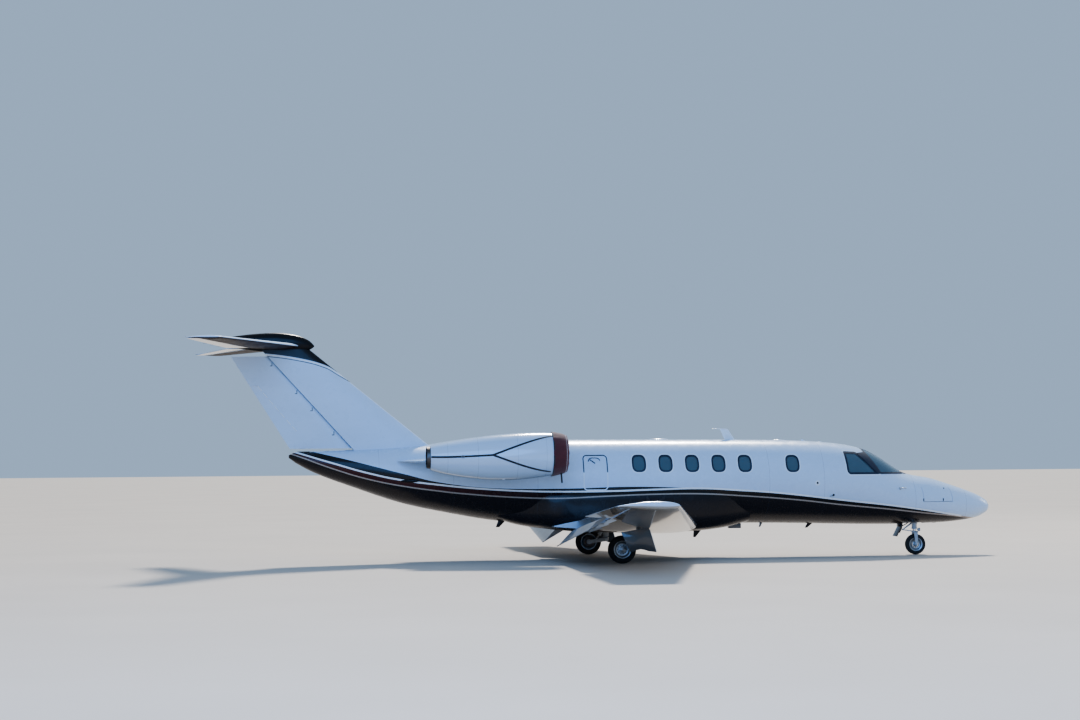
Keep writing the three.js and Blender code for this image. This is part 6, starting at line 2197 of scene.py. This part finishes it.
class JET_OT_bays(bpy.types.Operator):
    """Line the baggage bays in the nose and the tail"""

    bl_idname = "jet.bays"
    bl_label = "Baggage bays"

    def execute(self, context):
        x0, x1, y, z0, z1 = 6.577, 7.163, 0.6, 1.083, 1.371
        walls = [
            box("roof", (x0, -0.26, z1), (x1, 0.26, z1 + 0.01)),
            box("floor", (x0, -y, z0 - 0.01), (x1, y, z0)),
            box("aft", (x0 - 0.01, -y, z0 - 0.01), (x0, y, z1 + 0.01)),
            box("front", (x1, -y, z0 - 0.01), (x1 + 0.01, y, z1 + 0.01)),
        ]
        inside = tube("inside", [oval(x, 0.075) for x in steps(6.4, 7.3, 8)], BODY_POINTS)
        for wall in walls[1:]:
            cut(wall, inside, "INTERSECT", keep=True)
        drop(inside)
        dress(smooth(bevel(join("nose_baggage_lining", walls), 0.002, 2)), "gear")
        lining = shell("tail_bay_lining", -2.68, -1.4, 0.05, 0.058)
        cut(lining, side_doorway(TAIL_DOOR, 1, 0.014))
        dress(body_shading(lining), "gear")
        for name, x in (("tail_bay_front_wall", -1.39), ("tail_bay_rear_wall", -2.7)):
            wall = tube(name, [oval(x, 0.06), oval(x + 0.015, 0.06)], BODY_POINTS)
            dress(smooth(bevel(wall, 0.003, 2)), "gear")
        floor = within_body("tail_bay_floor", -2.67, -1.4, 0.062, 0.985, 1.0)
        dress(smooth(floor), "carpet")
        return {"FINISHED"}


# Nodes that keep their own shape, with the finish of each
KEPT_NODES = {
    "engine": ("engine_port", "engine_starboard"),
    "carpet": ("cabin_floor",),
}


class JET_OT_kept(bpy.types.Operator):
    """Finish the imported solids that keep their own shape"""

    bl_idname = "jet.kept"
    bl_label = "Packed solids"

    def execute(self, context):
        for finish, nodes in KEPT_NODES.items():
            for node in nodes:
                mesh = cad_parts[node].data
                mesh.materials.clear()
                mesh.materials.append(FINISHES[finish])
        return {"FINISHED"}


class JET_OT_stage(bpy.types.Operator):
    """Set the camera, the pale floor and the soft light"""

    bl_idname = "jet.stage"
    bl_label = "Stage"

    def execute(self, context):
        turn, pitch, roll = math.radians(7.64), math.radians(2.77), math.radians(0.46)
        right = Vector((math.cos(turn), -math.sin(turn), 0))
        ahead = Vector((
            math.sin(turn) * math.cos(pitch), math.cos(turn) * math.cos(pitch), math.sin(pitch)))
        up = right.cross(ahead)
        across = right * math.cos(roll) - up * math.sin(roll)
        upward = right * math.sin(roll) + up * math.cos(roll)
        data = bpy.data.cameras.new("camera")
        data.lens, data.sensor_width = 70.0, 36.0
        data.clip_end = 1000
        camera = bpy.data.objects.new("camera", data)
        matrix = Matrix((across, upward, -ahead)).transposed().to_4x4()
        matrix.translation = Vector((-6.793, -41.85, 1.962))
        camera.matrix_world = matrix
        context.scene.collection.objects.link(camera)
        context.scene.camera = camera

        alone()
        bpy.ops.mesh.primitive_plane_add(size=600, location=(0, 0, -0.001))
        floor = named(context.object, "floor")
        finish = Finish("floor_finish", Roughness=0.75)
        stain = finish.noise(0.25, 6)
        pale = tuple(context.scene.jet_colours.floor)
        finish.colour(finish.mix(finish.span(stain, 0.3, 0.7), pale, toned(pale, 0.93)))
        floor.data.materials.append(finish.material)

        for name, place, aim, size, power, tint in (
            ("key", (5, 22, 24), (0, 0, 1.5), 0, 3.2, (1, 0.95, 0.88)),
            ("fill", (-8, -40, 16), (0, 0, 1.5), 30, 7500, (0.14, 0.42, 1)),
            ("nose", (34, 8, 14), (4, 0, 1.5), 12, 2500, (1, 0.97, 0.93)),
        ):
            lamp = bpy.data.lights.new(name, "AREA" if size else "SUN")
            lamp.energy, lamp.color = power, tint
            if size:
                lamp.shape, lamp.size = "DISK", size
            else:
                lamp.angle = math.radians(7)
            light = bpy.data.objects.new(name, lamp)
            light.location = place
            light.rotation_mode = "QUATERNION"
            light.rotation_quaternion = (Vector(aim) - Vector(place)).to_track_quat("-Z", "Y")
            context.scene.collection.objects.link(light)
        world = bpy.data.worlds.new("studio")
        world.use_nodes = True
        world.node_tree.nodes["Background"].inputs[0].default_value = (0.52, 0.7, 0.95, 1)
        world.node_tree.nodes["Background"].inputs[1].default_value = 0.6
        context.scene.world = world
        context.scene.view_settings.look = "AgX - Medium High Contrast"
        return {"FINISHED"}


class JET_PT_panel(bpy.types.Panel):
    """The jet's pieces, sizes and colours"""

    bl_idname = "JET_PT_panel"
    bl_label = "Business jet"
    bl_space_type = "VIEW_3D"
    bl_region_type = "UI"
    bl_category = "Jet"

    def draw(self, context):
        layout = self.layout
        for settings in (context.scene.jet_sizes, context.scene.jet_colours):
            for key in settings.bl_rna.properties.keys():
                if key not in ("name", "rna_type"):
                    layout.prop(settings, key)
        for operator in OPERATORS:
            layout.operator(operator.bl_idname)


OPERATORS = (
    JET_OT_stage, JET_OT_finishes, JET_OT_fuselage, JET_OT_doors, JET_OT_windows, JET_OT_belly,
    JET_OT_wings, JET_OT_tail, JET_OT_engines, JET_OT_covers, JET_OT_wheels, JET_OT_main_gear,
    JET_OT_nose_gear, JET_OT_wing_fittings, JET_OT_tail_fittings, JET_OT_body_fittings,
    JET_OT_engine_fittings, JET_OT_seats, JET_OT_cabin, JET_OT_cockpit, JET_OT_bays, JET_OT_kept,
)
CLASSES = (JetColours, JetSizes, *OPERATORS, JET_PT_panel)


def register():
    for item in CLASSES:
        bpy.utils.register_class(item)
    bpy.types.Scene.jet_colours = bpy.props.PointerProperty(type=JetColours)
    bpy.types.Scene.jet_sizes = bpy.props.PointerProperty(type=JetSizes)


def unregister():
    del bpy.types.Scene.jet_sizes
    del bpy.types.Scene.jet_colours
    for item in reversed(CLASSES):
        bpy.utils.unregister_class(item)


def main():
    """Builds every piece in order."""
    register()
    for operator in OPERATORS:
        group, name = operator.bl_idname.split(".")
        getattr(getattr(bpy.ops, group), name)()


if __name__ == "__main__":
    main()
